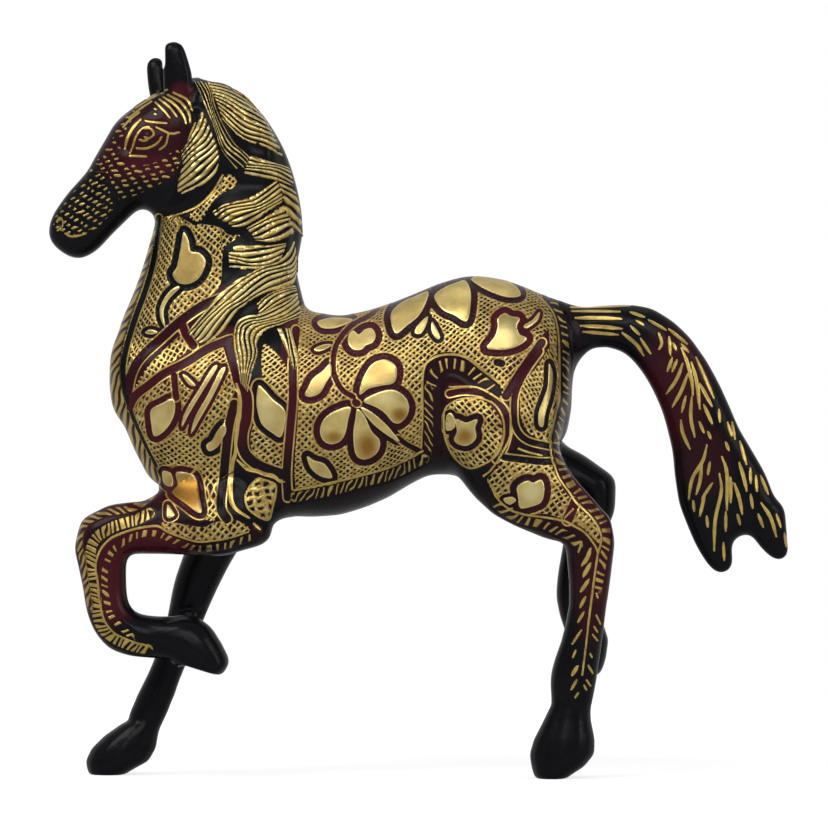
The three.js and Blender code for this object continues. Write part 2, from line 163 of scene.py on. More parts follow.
EAR_FOOT = 223.0
FILLET = 7.0
PIN_COVER = 0.6
PIN_FILLET = 2.0
shell = filled(np.minimum(*(dense(*castings[name]) for name in SHELLS)), EAR_FOOT)
shell_places, shell_quads = contour(shell)
shell = dense(shell_places, quads=shell_quads)
# the fields of the limbs are kept in half precision, to tell later which casting a point lies on
limb_fields = {}
whole = shell
for name in LIMBS:
    field = dense(*castings[name])
    whole = np.minimum(whole, joined(shell, field, FILLET))
    limb_fields[name] = field.astype(np.float16)
pin_field = np.minimum.reduce([dense(*castings[name]) for name in PINS]) - np.float32(PIN_COVER)
whole = np.minimum(whole, pin_field)

# seen from the side the two ears stand apart: where each ends in x, the height of the parting's foot and
# how steeply the gap closes towards it
EAR_GAP = (-86.8, -85.2)
EAR_PARTING = 239.0
EAR_SLOPE = 0.8
EARS_END = -70
ear_rows = slice(0, np.searchsorted(X, EARS_END))
ear_levels = slice(np.searchsorted(Z, EAR_FOOT), None)
apart = np.where(Y[None, :] < 0, EAR_GAP[1] - X[ear_rows, None], X[ear_rows, None] - EAR_GAP[0])[:, :, None]
apart = np.clip(apart - EAR_SLOPE * np.clip(EAR_PARTING - Z[ear_levels], 0, None), None, REACH * VOXEL)
whole[ear_rows, :, ear_levels] = np.maximum(whole[ear_rows, :, ear_levels], apart)

# trunk, neck, legs and tail are smoothed broadly; hooves keep their edges and ears their thin rims
BODY_BLUR, HOOF_BLUR, EAR_BLUR = 2.4, 1.2, 0.8
HOOVES = [(-130, 90, -5, 24), (-86, -62, 30, 57), (48, 66, 26, 58)]
HOOF_SOFT = 3
hoof_share = np.zeros((shape[0], shape[2]), np.float32)
for x0, x1, z0, z1 in HOOVES:
    hoof = span(X, x0, x1, HOOF_SOFT)[:, None] * span(Z, z0, z1, HOOF_SOFT)[None, :]
    hoof_share = np.maximum(hoof_share, hoof)
ear_share = ramp(Z, EAR_FOOT - 2, EAR_FOOT + 3).astype(np.float32)[None, None, :]
skin_field = smoothed(whole, BODY_BLUR)
skin_field += (smoothed(whole, HOOF_BLUR) - skin_field) * hoof_share[:, None, :]
skin_field += (smoothed(whole, EAR_BLUR) - skin_field) * ear_share

# where the near legs leave the trunk, and over the poll, the form runs on without a step: start and end
# in x and in z, end in y, blur
JOINS = [(-92, -40, 86, 114, 0, 6.5), (6, 62, 92, 116, 0, 5.5), (-69, -58, 228, 242, 40, 4.0)]
JOIN_SOFT = 6
JOIN_FADE = 8
JOIN_MARGIN = 20
for x0, x1, z0, z1, y1, sigma in JOINS:
    i0, i1 = np.searchsorted(X, (x0 - JOIN_MARGIN, x1 + JOIN_MARGIN))
    k0, k1 = np.searchsorted(Z, (z0 - JOIN_MARGIN, z1 + JOIN_MARGIN))
    block = skin_field[i0:i1, :, k0:k1]
    share = span(X[i0:i1], x0, x1, JOIN_SOFT)[:, None, None]
    share = share * span(Z[k0:k1], z0, z1, JOIN_SOFT)[None, None, :]
    share = share * (1 - ramp(Y, y1 - JOIN_FADE, y1))[None, :, None]
    block += (smoothed(whole[i0:i1, :, k0:k1], sigma) - block) * share.astype(np.float32)

# the skin covers the end of every pin
skin_field = joined(skin_field, pin_field, PIN_FILLET)

# the points of the row on the middle plane are set on it, up to the tail, which has no seam there
TAIL_START = 52
places, quads = contour(skin_field)
straddles = np.abs(places[:, 1]) < 0.5 * VOXEL
places[straddles & (places[:, 0] < TAIL_START), 1] = 0


def face_normals(places, quads):
    a, b, c, d = (places[quads[:, i]] for i in range(4))
    return np.cross(c - a, d - b)


def point_normals(places, quads):
    across = face_normals(places, quads)
    total = np.stack(
        [
            sum(np.bincount(quads[:, i], across[:, k], len(places)) for i in range(4))
            for k in range(3)
        ],
        1,
    )
    return total / np.maximum(np.linalg.norm(total, axis=1), 1e-9)[:, None]


centres = places[quads].mean(1)
if (face_normals(places, quads) * (centres - centres.mean(0))).sum() < 0:
    quads = quads[:, ::-1].copy()
normals = point_normals(places, quads)


def field_at(field, points):
    """The field's value at the step nearest to each point."""
    index = np.rint((points - SHIFT) / VOXEL).astype(int) - low
    return field[index[:, 0], index[:, 1], index[:, 2]]


def nearest_casting(points):
    """Name of the casting that each point lies on."""
    owners = np.array(["body", *LIMBS], dtype=object)
    return owners[np.stack([field_at(f, points) for f in [shell, *limb_fields.values()]], 1).argmin(1)]


face_owner = nearest_casting(centres)
face_owner[(face_owner == "body") & (centres[:, 1] > 0)] = SHELLS[1]
face_owner[face_owner == "body"] = SHELLS[0]
point_owner = nearest_casting(places)


def outer_surface(side):
    """Height of the skin over the figure's middle plane on one side, for what lies on it."""
    field = skin_field if side < 0 else skin_field[:, ::-1]
    across = Y if side < 0 else Y[::-1]
    solid = field < 0
    first = np.clip(solid.argmax(1), 1, None)
    near = np.take_along_axis(field, first[:, None, :], 1)[:, 0]
    far = np.take_along_axis(field, first[:, None, :] - 1, 1)[:, 0]
    surface = across[first] + side * -VOXEL * near / np.minimum(near - far, -1e-6)
    surface[~solid.any(1)] = 0
    return surface


def on_surface(surface, x, z):
    fx = np.clip((x - X[0]) / VOXEL, 0, shape[0] - 2)
    fz = np.clip((z - Z[0]) / VOXEL, 0, shape[2] - 2)
    i, k = fx.astype(int), fz.astype(int)
    u, v = fx - i, fz - k
    top = surface[i, k + 1] * (1 - u) + surface[i + 1, k + 1] * u
    bottom = surface[i, k] * (1 - u) + surface[i + 1, k] * u
    return bottom * (1 - v) + top * v


# The pattern sheet: a side view in units of 0.337 mm, x towards the tail and y down

UNIT = 0.33693
SHEET_X, SHEET_Y = 419.0, 776.5


def sheet(path):
    """Places of the pattern sheet, as "x,y x,y" or as pairs, in mm on the figure's plane."""
    p = np.array([pair.split(",") for pair in path.split()] if isinstance(path, str) else path, float)
    return np.stack(((p[:, 0] - SHEET_X) * UNIT, (SHEET_Y - p[:, 1]) * UNIT), 1)


def curve(points, closed=False, steps=6):
    """A smooth line through the points."""
    p = np.asarray(points, float)
    if closed:
        p = np.concatenate((p[-1:], p, p[:2]))
    else:
        p = np.concatenate((2 * p[:1] - p[1:2], p, 2 * p[-1:] - p[-2:-1]))
    t = (np.arange(steps) / steps)[None, :, None]
    a, b, c, d = (q[:, None, :] for q in (p[:-3], p[1:-2], p[2:-1], p[3:]))
    run = 2 * b + (c - a) * t + (2 * a - 5 * b + 4 * c - d) * t**2 + (3 * b - a - 3 * c + d) * t**3
    run = 0.5 * run.reshape(-1, p.shape[1])
    return run if closed else np.concatenate((run, p[-2:-1]))


# distances in the pattern count up to this many mm
FAR = 6.0


def close_to(points, ring, margin):
    """Numbers of the points in the box of a line and a margin round it."""
    inside = (points >= ring.min(0) - margin) & (points <= ring.max(0) + margin)
    return np.nonzero(inside.all(1))[0]


def area_distance(points, ring):
    """Distance to a closed outline, negative inside it."""
    closed = np.concatenate((ring, ring[:1]))
    odd = np.zeros(len(points), bool)
    x, z = points.T
    for (ax, az), (bx, bz) in zip(closed[:-1], closed[1:]):
        if az != bz:
            odd ^= ((az > z) != (bz > z)) & (x < ax + (bx - ax) * (z - az) / (bz - az))
    return np.where(odd, -1, 1) * line_distance(points, closed)[0]


def line_distance(points, run):
    """Distance to an open line, signed distance across it (right of its way +) and length along it."""
    nearest = np.full(len(points), np.inf)
    across = np.zeros(len(points))
    along = np.zeros(len(points))
    start = 0.0
    x, z = points.T
    for (ax, az), (bx, bz) in zip(run[:-1], run[1:]):
        ex, ez = bx - ax, bz - az
        length = math.hypot(ex, ez)
        share = np.clip(((x - ax) * ex + (z - az) * ez) / max(length * length, 1e-12), 0, 1)
        d = np.hypot(x - ax - share * ex, z - az - share * ez)
        better = d < nearest
        nearest = np.where(better, d, nearest)
        side = np.sign((x - ax) * ez - (z - az) * ex)
        across = np.where(better, side * d, across)
        along = np.where(better, start + share * length, along)
        start += length
    return nearest, across, along


# smooth cut petals and leaves: width of the lacquer round each, how red that is, outline
PETALS = [
    # flower on the barrel
    (6, 0.9, "360,395 363,380 372,365 384,360 394,364 397,372 394,383 381,386 369,389"),
    (6, 0.6, "364,401 378,393 393,390 404,396 409,406 407,416 400,423 393,422 385,413 376,407"),
    (4, 0.2, "361,407 372,412 384,422 393,432 400,441 392,438 378,428 369,419"),
    (6, 0.4, "358,409 365,416 372,431 380,440 379,450 372,457 363,459 356,453 354,434 356,419"),
    (6, 0.6, "351,407 349,419 346,433 341,441 332,444 324,440 321,430 325,419 336,411"),
    # leaves round it
    (6, 1, "331,364 332,374 327,383 321,393 312,397 306,395 309,388 314,379 324,371"),
    (3, 0.8, "315,349 324,345 333,345 326,350 318,352"),
    (5, 0.8, "318,322 330,318 343,318 353,320 343,326 332,329 322,328"),
    (6, 1, "349,335 354,331 359,335 365,330 372,329 376,336 373,343 366,346 362,350 354,350 349,344"),
    (5, 0.2, "308,456 315,460 326,464 333,477 322,476 312,468"),
    # petals along the back
    (6, 0.4, "392,312 401,303 414,297 428,292 425,305 418,317 407,326 396,334 391,322"),
    (6, 0.4, "434,297 444,288 456,283 465,281 470,291 470,306 466,322 454,316 442,310"),
    (5, 0.3, "471,279 486,275 502,278 516,287 520,296 508,298 494,294 480,287"),
    (3.5, 0.2, "428,317 426,326 421,334 415,334 416,328 422,321"),
    (3.5, 0.2, "432,322 437,330 440,338 437,340 432,334 431,327"),
    (6, 1, "497,319 504,314 510,317 519,319 516,327 519,335 526,339 518,346 505,350 492,350 486,348 "
     "494,337 497,327"),
    (3, 0.9, "539,312 537,321 526,329 523,326 532,320"),
    # thigh, roundel and gaskin
    (4, 0.3, "548.5,363.5 552,375.5 549.5,395 544,414.5 542,426.5 537.5,424.5 537.5,412.5 542,399.5 "
     "546.5,386.5 547.5,373.5"),
    (5, 0.3, "456,419 466,422 477,419 475,427 476,438 468,445 459,444 454,439 457,431"),
    (3, 0.2, "446,416 451,413 455,420 454,428 446,430"),
    (6, 0.7, "516,486 526,480 532,482 540,479 543,488 540,501 529,506 519,507 517,496"),
    (3, 0.2, "502,498 511,496 515,500 508,504"),
    # shoulder
    (5.5, 0.9, "153,410 163,404 175,399 177,410 173,422 165,432 156,436 153,422"),
    (3, 1, "219,368 205,391 190,416 184,428 186,414 201,389 214,368"),
    (3, 1, "227,370 215,396 202,419 193,434 197,417 210,394 222,370"),
    (3, 1, "184,375 190,377 198,386 191,385"),
    (5, 0.1, "226,424 228,431 224,439 219,447 211,451 208,445 214,440 219,431"),
    (5, 0.9, "178,472 193,473.5 198.5,480 201,493 204,510 199,511 187,502 174.5,492 179,484"),
    (4, 1, "164,471 171,472 174.5,478 173,486 165,482.5"),
    (3, 0.9, "170,503 177,512.5 175.5,516 170,517 169,510"),
    (5, 0.1, "260,386 266,390 274,399 286,410 286,425 282,437 274,433 264,425 260,415 258,402"),
    # neck
    (6, 0, "185,233 190,242 192,252 201,254 207,262 204,273 198,281 188,285 179,283 174,275 178,268 "
     "181,254 183,242"),
    (4, 0, "179,287 172,291 166,298 161.5,308 162,319 167,328 165,313 169,302 175,295 181,289"),
    (3.5, 0.2, "146,333 152,330 160,333 152,335"),
]

# a small hatched field at the elbow, with a brass edge
BADGE = ("260,477.5 271,481 277,484.5 277,494 274,507 271,518 265.5,518.5 255.5,512.5 249,506 247,496 "
         "250.5,487 255.5,481")

# chased hatching: how it follows the form, angle of its lines in degrees, pitch in mm, outline
PANELS = [
    ("neck", 38, 1.25, "160,226 157,262 151,290 142,316 133,345 131,372 146,352 165,335 182,321 198,308 "
     "214,295 222,284 223.5,262 226,248 242,237 229,235.5 221,228.5 201,225 197,227 185,220 172,215"),
    ("neck", 30, 1.2, "183,336 188,345 190,351 166,368 146,382 135,394 140,381 153,363 168,348"),
    ("neck", 40, 1.2, "228,176 238,186 216,200 202,222 190,216 208,202"),
    ("trunk", 42, 1.25, "134,413 152,391 168,381 190,368 212,354 226,350 231,366 237,388 230,408 227,440 "
     "221,480 220,508 215,520 196,512 172,492 160,468 148,446"),
    ("trunk", 50, 1.3, "264,347 271,347 289,370 289,398 281,397 266,384 263,366"),
    ("trunk", 50, 1.3, "256,424 263,434 282,443 282,465 271,463 256,455 252,440"),
    ("leg", 80, 2.1, BADGE),
    ("trunk", 42, 1.25, "299,318 300,400 297,489 330,483 363,475 393,466 421,452 423,410 423,374 427,362 "
     "437,354 452,353 467,358 484,373 500,388 504,392 512,378 522,364 546,331 549,345 556,345 553,318 "
     "543,300 535,270 500,262 450,262 400,284 350,300 310,302"),
    ("trunk", -40, 1.3, "472,398 488,404 499,418 501,436 494,454 482,464 470,467 455,456 446,440 443,424 "
     "448,408 458,400"),
    ("trunk", -30, 1.2, "537,366 521,386 519,413 526,431 543,441 549,437 553,413 558,397 557,366 555,346 "
     "549,347"),
    ("leg", 55, 1.3, "504,461 490,474 487,482 502,505 521,513 545,513 563,517 572,503 563,490 554,472 "
     "548,463 530,459"),
    ("leg", 45, 1.4, "579,509.5 596,525.5 599,534.5 598,542.5 592.5,538 579,525.5 568,519.5"),
    ("leg", 40, 1.4, "165,521 180,522 205,526 215,522 235,518 252,529 231,537 209,540 187,536 168,529"),
]

# plain lacquered bands with brass edges: half width, how red, line
PLAINS = [
    (3.4, 1, "356,402.5 358,403.5"),
    (4.6, 0.5, "224,299 205,306 182,322 164,338 144,356 134,372 129,392"),
    (4.2, 0.9, "232,340 210,349 188,363 166,374 151,385 137,396 130,409"),
    (4, 1, "183,324 188,336 195,346"),
    (5.2, 0.8, "229,342 236,366 241,384 248,396 248,418 244,434 246,452 260,465 283,474"),
    (4.4, 0.5, "236,404 231,425 228,448 225,479 223,506 229,518"),
    (4, 0.9, "297,330 294,366 294,398 291,433 288,471 289,497"),
    (3, 0, "159,218 155,256 147,288 137,316 128,345 124,370 127,394 133,416 145,444 156,466"),
    (3.2, 0.9, "449,394 463,391.5 480,393 494,399.5 504.5,413 507,430 503,447 495,459"),
    (4, 0.8, "541,343 527,362 514,381 505,396"),
    (3, 0.8, "539,352 525,372 515,392 513,410 515,428 526,440 549,446"),
    (3.2, 0.1, "503,457 520,459 538,461 551,461"),
    (3.5, 0.2, "496,363 501,364"),
    (2.6, 1, "354,397 344,391 337,380 334,368 335,353 338,343 346,331 355,323 369,316 378,308"),
    (2.6, 0.2, "398,438 408,445 420,451"),
    (3.2, 1, "176,376 177,388 178,398"),
    (5, 1, "574,501 566,519"),
]

# lacquered borders with a row of strokes: half width, how red, share and pitch of the strokes, their
# slant, where they start and end across the border as shares of its half width, line
BORDERS = [
    (8.5, 0.25, 0.54, 13, -1.8, -0.9, 0.95, "149,226 142,258 131,292 119,328 113,360 114,386 122,412 "
     "134,438 146,462 154,480"),
    (9.5, 0.25, 0.26, 9, 1.4, -0.8, 0.1, "432,448 432,412 432,388"),
    (9.5, 0.25, 0.24, 8, 0.15, -0.75, 0.35, "432.5,388 436,374 447,366 463,369 477,379.5 491,391"),
    (6, 0.1, 0.27, 8.4, 0.8, -0.6, 0.5, "552,300 562,320 565.5,345 565.5,372 565.5,398 562,414 "
     "556,438"),
    (5, 0.7, 0.36, 8.4, 0.4, -0.85, 0.85, "556,440 558,453 560,462 562,468 566,476 571,485 578,492 "
     "587,503 595,511 602,521 605,530 605,544 602,558 599,575 597,588"),
    (6, 0.1, 0.3, 6.4, 0.7, -0.85, 0.85, "296,497 330,491 363,482 393,474 424,459"),
    # raised foreleg: a rope along its front, a ladder beside that, ticks along the inside of the bend
    (4, 0.6, 0.45, 9, -1.3, -0.9, 0.9, "152,495 141,504 127,508.5 114,510 99,515 88.5,521.5 82.5,532 "
     "82,544.5 85,559.5 87,573 90,590.5 93,607"),
    (5.6, 0.2, 0.55, 5.2, 0.3, -1, 1, "152,512 139,518.5 127,522 116,526 104,533 96.5,541 93.5,552 "
     "94,566 96,581 98,597 100,613.5 105,627 117,636.5 134,644 150,647.5"),
    (5.5, 1, 0.32, 8.2, 0.4, -0.6, 0.6, "254,536 243,540 231,544.5 219,546.5 207,548 198,548 187,544.5 "
     "174,539 162,533.5 150,532 136,536 124,543 115,551 109,565 107.5,580 109,594 113,612 122,623 "
     "134,634"),
    # hind leg above the hock
    (5.5, 0.3, 0.35, 8.6, 0.5, -0.8, 0.8, "494,503 505,512 520,519.5 540,523.5 556,530.5 568,536 "
     "577,544"),
]

# single brass lines: half width, lines
LINES = [
    (0.9, BADGE + " 260,477.5"),
    (1, "466,398 480,398.5 494,405 502,419 502.5,438 495,455 481,464.5 468,467.5 455,458 446,441 "
     "443.5,424 445,409 455,401 466,398 | 449,387.5 476,387.5 497.5,399 508,410 509.5,428 507,442 "
     "492,467 482,476 | 517,448 528,452 541,455"),
    (1.1, "224,176 212,195 195,209 171,217 | 295,490 330,483 363,475 393,466 423,451 | 540,297 553,313 "
     "558,334 559,366 559,398 555,413 549,440 | 421,448 422.5,420 423,373 432,359 449,355 465,358 "
     "482,371 498,383"),
    (1.2, "187,480 196,470 204,464"),
    (1.3, "255.5,522.5 262,528.5"),
    (1.9, "239,460 245,465.5 250.5,469 258,470.5 267,474 274.5,475.5 281,481 285.5,481.5"),
    (2, "238,384 241,396 240,418 237.5,440 237,453"),
    (2.2, "237.5,440 237,453 234,462 232.5,478 232.5,494 234,502 239,509 251,517"),
    # eye
    (0.9, "169.5,136 167,146 161,151"),
    (1, "146,122 156,123.5 168,124.5 | 157.5,128.5 165,132 172,135 180.5,134 | 146.5,130 151.5,130 "
     "155,133.5 154.5,137.5 150.5,140 146,139 | 140.5,141 145,142.5 149,142 | 130.5,157 139.5,157.5 "
     "148,158 | 155.5,110 157,110.5 | 155.5,115 157,115.5"),
    (1.1, "131,154 134,147 136.5,139.5 140.5,132.5 145,129 150,128 | 138,149.5 146,150 154,147.5 160,143 "
     "163,138"),
    (1.5, "125.5,149.5 127.5,142 131,134 136,126.5 142,120.5"),
    # nostril and lip
    (0.9, "57,222 60,218 63,221.5 62,228 58,231 | 66,234 71.5,237 79,236.5 86,234.5"),
    # strands of the forelock
    (1, "156,103 165,112 171,119 | 168,91 158,94 147,99 | 161,94 149,100 136,108 | 152,102 140,110 "
     "130,118 | 140,113 130,121 124,128 | 176,216 180,226 178,232"),
    (1.1, "160,100 171,109 178,118 | 174,94 188,101 193,112 | 196,124 190,140 188,152"),
    (1.2, "164,98 176,106 185,118 187,125 | 168,96 182,104 190,115 191,124"),
    # gold edges of the legs
    (1, "563,517 572,508"),
    (1.1, "550,440 550,453 553,464 558,477.5 568,491.5 575.5,502 588,514 595.5,524 600,535 599,544 "
     "596.5,552 594,568.5 591,591 587.5,618 584.5,645 581,673 | 490,485 497,499 508.5,509 523,514 "
     "543.5,516.5 562,520 572.5,525 583.5,532 593,544 596.5,552 | 250,531 231,537 213.5,540 199,540.5 "
     "185,536.5 170,530.5 161,525 150.5,525.5 139,527.5 125,532 113.5,537.5 104.5,547 100,557 98.5,567.5 "
     "100.5,580 101.5,594 104,608 108,620 116,630 125,635.5 139,641 152.5,644.5"),
    # strokes down the near hind leg
    (1, "595,592 596.5,596.5 | 595,613.5 599.5,622.5 | 593,625 596.5,630.5 | 591.5,633 596.5,639 | "
     "589,652 591,655.5 | 585.5,678 589.5,684 | 583,683.5 585.5,688"),
    (1.1, "580,541 576.5,551.5 | 574.5,648.5 571.5,655.5 | 577,691 574,695.5"),
    (1.2, "580,628.5 571,642 | 587,663.5 592,671.5"),
    (1.4, "582.5,610.5 576.5,620.5 | 575.5,678 570,687.5"),
    (1.6, "584,595.5 578.5,606"),
    (1.8, "587.5,578 579,590.5"),
    (1.9, "576.5,664 570.5,673.5"),
    (2, "589,547 585.5,557 580,564.5 | 589,562 581.5,575.5"),
    # root of the tail
    (1, "570.5,307 600,306.5 630,305"),
    (1.3, "571.5,311 600,311 619.5,311.5"),
    (1.6, "583,332 600,333.5 617.5,335"),
    (1.8, "580,326 600,327 621.5,329"),
    (1.9, "575,318 600,318 621.5,319"),
    # hair of the tail
    (1.5, "630,312 644,317 | 636,321 643,325 | 630,326 639,335 | 640,339 650,354 | 658,333 661,343 "
     "658,350 | 668.5,337 669.5,355 | 672.5,343 675.5,350 | 648,320 665.5,330 | 681,344 688,352 | "
     "671.5,358 666.5,371.5 | 676.5,360 671.5,371.5 | 685,396 681,412 | 698.5,422 703,432.5 | 707,431.5 "
     "710,438.5 | 718.5,409.5 719.5,422 | 727,422 731,435.5 | 732,422 734.5,439 | 725,442 728,450.5 | "
     "709,462 707,474.5 | 711.5,483 701,498.5 | 692.5,500.5 693.5,511 | 730,477.5 730,502.5 | 750,468 "
     "750,483 | 755.5,475.5 756.5,491 | 750,494.5 752,508 | 776,514 780.5,527 | 784.5,533 786.5,546.5 | "
     "757.5,514 762.5,527 | 736.5,514 739.5,524.5 | 706,516 707,527 | 725,512 725,531 | 723,542.5 "
     "724,560"),
    (1.7, "668.5,329 687,344 | 682,363.5 675.5,380 665.5,394 | 687,374 680,392 671.5,407 | 681,348 "
     "687,363.5 691,382 692,395 | 691,362 696,382 699,409 | 691,397 690,417.5 694,437 | 680,420 682,433 "
     "689,449 | 696.5,380 698.5,406.5 | 699,383.5 711.5,406.5 | 695.5,357 703,374 713.5,398 | 703,405 "
     "711.5,424 | 739.5,441 746,464 | 706,445 702,460.5 691.5,478.5 688,499.5 | 701,466 699,481.5 "
     "695.5,494.5 | 704,494.5 699,516 | 718.5,473.5 720.5,491 714.5,519.5 713.5,551 | 721,456.5 "
     "726,473.5 726,510 | 733.5,483 738.5,498.5 741.5,514 | 738.5,462 743,477.5 746,491 | 760.5,475.5 "
     "768,494 | 760.5,502.5 770,517.5 776,537"),
    (1.8, "621.5,333 636,345 643,356"),
]

# burgundy over the black (+) and burgundy that fades to black (-): centre, radii, amount
BLUSH = [
    (152, 142, 48, 44, 0.5), (148, 166, 34, 15, 0.95), (124, 160, 30, 26, 0.5),
    (183, 94, 13, 12, 0.9), (150, 540, 62, 26, 1), (112, 580, 16, 40, 0.9),
    (592, 524, 34, 36, 1), (590, 580, 20, 70, 0.5), (672, 390, 42, 70, 0.6),
    (705, 460, 30, 40, 0.35), (150, 486, 30, 18, 0.5), (142, 640, 46, 34, -1),
    (256, 492, 70, 60, -0.85), (232, 548, 50, 20, -0.9), (538, 432, 40, 40, -0.8),
    (480, 480, 60, 40, -0.7),
]

# paler (+) and browner (-) brass, partly the brass's own patina and partly painted highlight (+) and
# painted shade (-) on petals and folds: centre, radii, amount
PATINA_AND_PAINTED_LIGHT = [
    (150, 138, 34, 24, -0.55), (400, 415, 10, 9, -1), (335, 437, 11, 8, -0.9),
    (368, 446, 13, 18, -1), (148, 264, 6, 8, -0.6), (233, 116, 8, 10, -0.7),
    (465, 436, 11, 10, -0.9), (190, 492, 26, 26, -1.2), (220, 440, 9, 12, -0.5),
    (190, 264, 20, 30, -0.45), (406, 312, 20, 20, -0.2), (322, 382, 14, 18, -0.2),
    (381, 372, 18, 14, -0.4), (508, 332, 14, 18, 0.6), (388, 400, 14, 9, 0.9),
    (530, 490, 14, 16, 0.7), (160, 418, 14, 16, 0.5), (268, 412, 12, 24, 0.5),
    (530, 492, 12, 12, 0.3), (272, 410, 12, 20, 0.3),
]

# rows of short dashes over the face: turn in degrees, pitch along and between rows in mm, stagger, outline
DASHES = [
    (33, 3.1, 1.75, 0.3, "84,181 70,198 57,215 54.5,229 68,236 84,236 97,233 103,223 114,211 110,190 "
     "104,172"),
    (12, 3.34, 1.86, 0.284, "90,172 100,158 112,143 118,129 131,112 136,115 124,137 121,158 128,164 "
     "150,166 170,156 176,150 184,160 174,177 150,190 124,200 115,194 109,174"),
]
# tone of the brass in dashes and borders, and how far past their edge it reaches
OLD_GOLD = -0.15
EDGE = 0.3
BLUSH_SOFT, SPOT_TONE_SOFT, SPOT_END = 0.5, 0.2, 1.15
# distances outside a petal are scaled as if its lacquer had this width
PETAL_WIDE = 5
# the two sets of hatch lines lie further apart than a panel's pitch
HATCH_U, HATCH_V = 1.25, 1.5
LINE_RUNS = [(half, path) for half, group in LINES for path in group.split(" | ")]
LEAST_LINE = 0.32
LINE_MARGIN, DASH_MARGIN, RED_REACH = 2.5, 2.0, 3.0


def ink(points, lines, blush=(), patina_and_light_spots=(), panels=(), petals=(), dashes=(), bands=()):
    """What the engraver cut at points of the figure's plane, as distances and running measures in mm."""
    n = len(points)
    petal, band, panel, line, dash = (np.full(n, FAR) for _ in range(5))
    red = np.zeros(n)
    red_reach = np.full(n, RED_REACH)
    tone = np.zeros(n)
    hatch = np.zeros((n, 2))
    stroke = np.zeros((n, 2))
    style = np.zeros(n)

    def spot(cx, cy, rx, ry, soft):
        (x, z), = sheet([(cx, cy)])
        d = np.hypot((points[:, 0] - x) / (rx * UNIT), (points[:, 1] - z) / (ry * UNIT))
        return 1 - ramp(d, soft, SPOT_END)

    def area(outline, steps=4, margin=FAR):
        ring = curve(sheet(outline), True, steps)
        pick = close_to(points, ring, margin)
        return pick, area_distance(points[pick], ring)

    def claim(kept, pick, d, *others):
        """Keeps d where it is nearer, and returns the points where it is, with their values."""
        better = d < kept[pick]
        kept[pick[better]] = d[better]
        return [values[better] for values in (pick, d, *others)]

    def colour(pick, d, amount):
        nearer = d < red_reach[pick]
        red[pick[nearer]] = amount
        red_reach[pick[nearer]] = d[nearer]

    for cx, cy, rx, ry, amount in blush:
        red = np.maximum(red, max(amount, 0) * spot(cx, cy, rx, ry, BLUSH_SOFT))
    # patina, painted highlight and painted shade lighten or brown the brass
    for cx, cy, rx, ry, amount in patina_and_light_spots:
        tone += amount * spot(cx, cy, rx, ry, SPOT_TONE_SOFT)
    for form, angle, pitch, outline in panels:
        pick, _ = claim(panel, *area(outline))
        turn = math.radians(angle)
        along, up = points[pick].T
        if form == "neck":
            along = neck_girth[pick]
        if form == "trunk":
            up = trunk_girth[pick]
        hatch[pick, 0] = (along * math.cos(turn) - up * math.sin(turn)) / (pitch * HATCH_U)
        hatch[pick, 1] = (along * math.sin(turn) + up * math.cos(turn)) / (pitch * HATCH_V)
    for wide, amount, outline in petals:
        pick, d = area(outline, steps=6)
        d = np.where(d > 0, d * PETAL_WIDE / wide, d)
        colour(*claim(petal, pick, d), amount)
    for angle, pitch, rows, stagger, outline in dashes:
        pick, d = claim(dash, *area(outline, margin=DASH_MARGIN))
        turn = math.radians(angle)
        along = points[pick, 0] * math.cos(turn) + points[pick, 1] * math.sin(turn)
        across = -points[pick, 0] * math.sin(turn) + points[pick, 1] * math.cos(turn)
        hatch[pick, 1] = across / rows
        hatch[pick, 0] = along / pitch + stagger * across / rows
        tone[pick[d < EDGE]] = OLD_GOLD
    for half, amount, *strokes, path in bands:
        run = curve(sheet(path))
        pick = close_to(points, run, FAR)
        d, across, along = line_distance(points[pick], run)
        pick, d, across, along = claim(band, pick, d - half * UNIT, across, along)
        colour(pick, d, amount)
        style[pick] = 0
        if strokes:
            share, pitch, slant, start, end = strokes
            # the strokes come at an uneven beat and lean unevenly, as a hand cuts them
            beat = along / (pitch * UNIT)
            lean = slant + 0.3 * np.sin(0.9 * beat)
            beat += 0.16 * np.sin(1.7 * beat) + 0.1 * np.sin(3.9 * beat)
            stroke[pick, 0] = beat + lean * across / (pitch * UNIT)
            stroke[pick, 1] = (2 * across / (half * UNIT) - start - end) / (end - start)
            style[pick] = share
            tone[pick[d < EDGE]] = OLD_GOLD
    for cx, cy, rx, ry, amount in blush:
        red *= 1 + min(amount, 0) * spot(cx, cy, rx, ry, BLUSH_SOFT)
    for half, path in lines:
        run = curve(sheet(path))
        pick = close_to(points, run, LINE_MARGIN)
        d, _, along = line_distance(points[pick], run)
        length = max(along.max(), 1e-6) if len(along) else 1
        # a line is cut in thin, swells and runs out thin
        taper = np.minimum(1, 0.45 + 2.2 * np.minimum(along, length - along) / length)
        thick = np.maximum(half * UNIT * taper, LEAST_LINE)
        line[pick] = np.minimum(line[pick], d - thick)
    return {
        "cut": np.stack((petal, band, panel), 1),
        "hatch": np.stack((*hatch.T, red), 1),
        "stroke": np.stack((*stroke.T, style), 1),
        "line": np.stack((line, np.clip(tone, -1, 1), dash), 1),
    }


def girth(height, middle, half_width):
    """A measure that runs on over the back and under the belly, where the side view is foreshortened."""
    return height + np.where(height > middle, 1, -1) * np.clip(half_width - np.abs(places[:, 1]), 0, None)


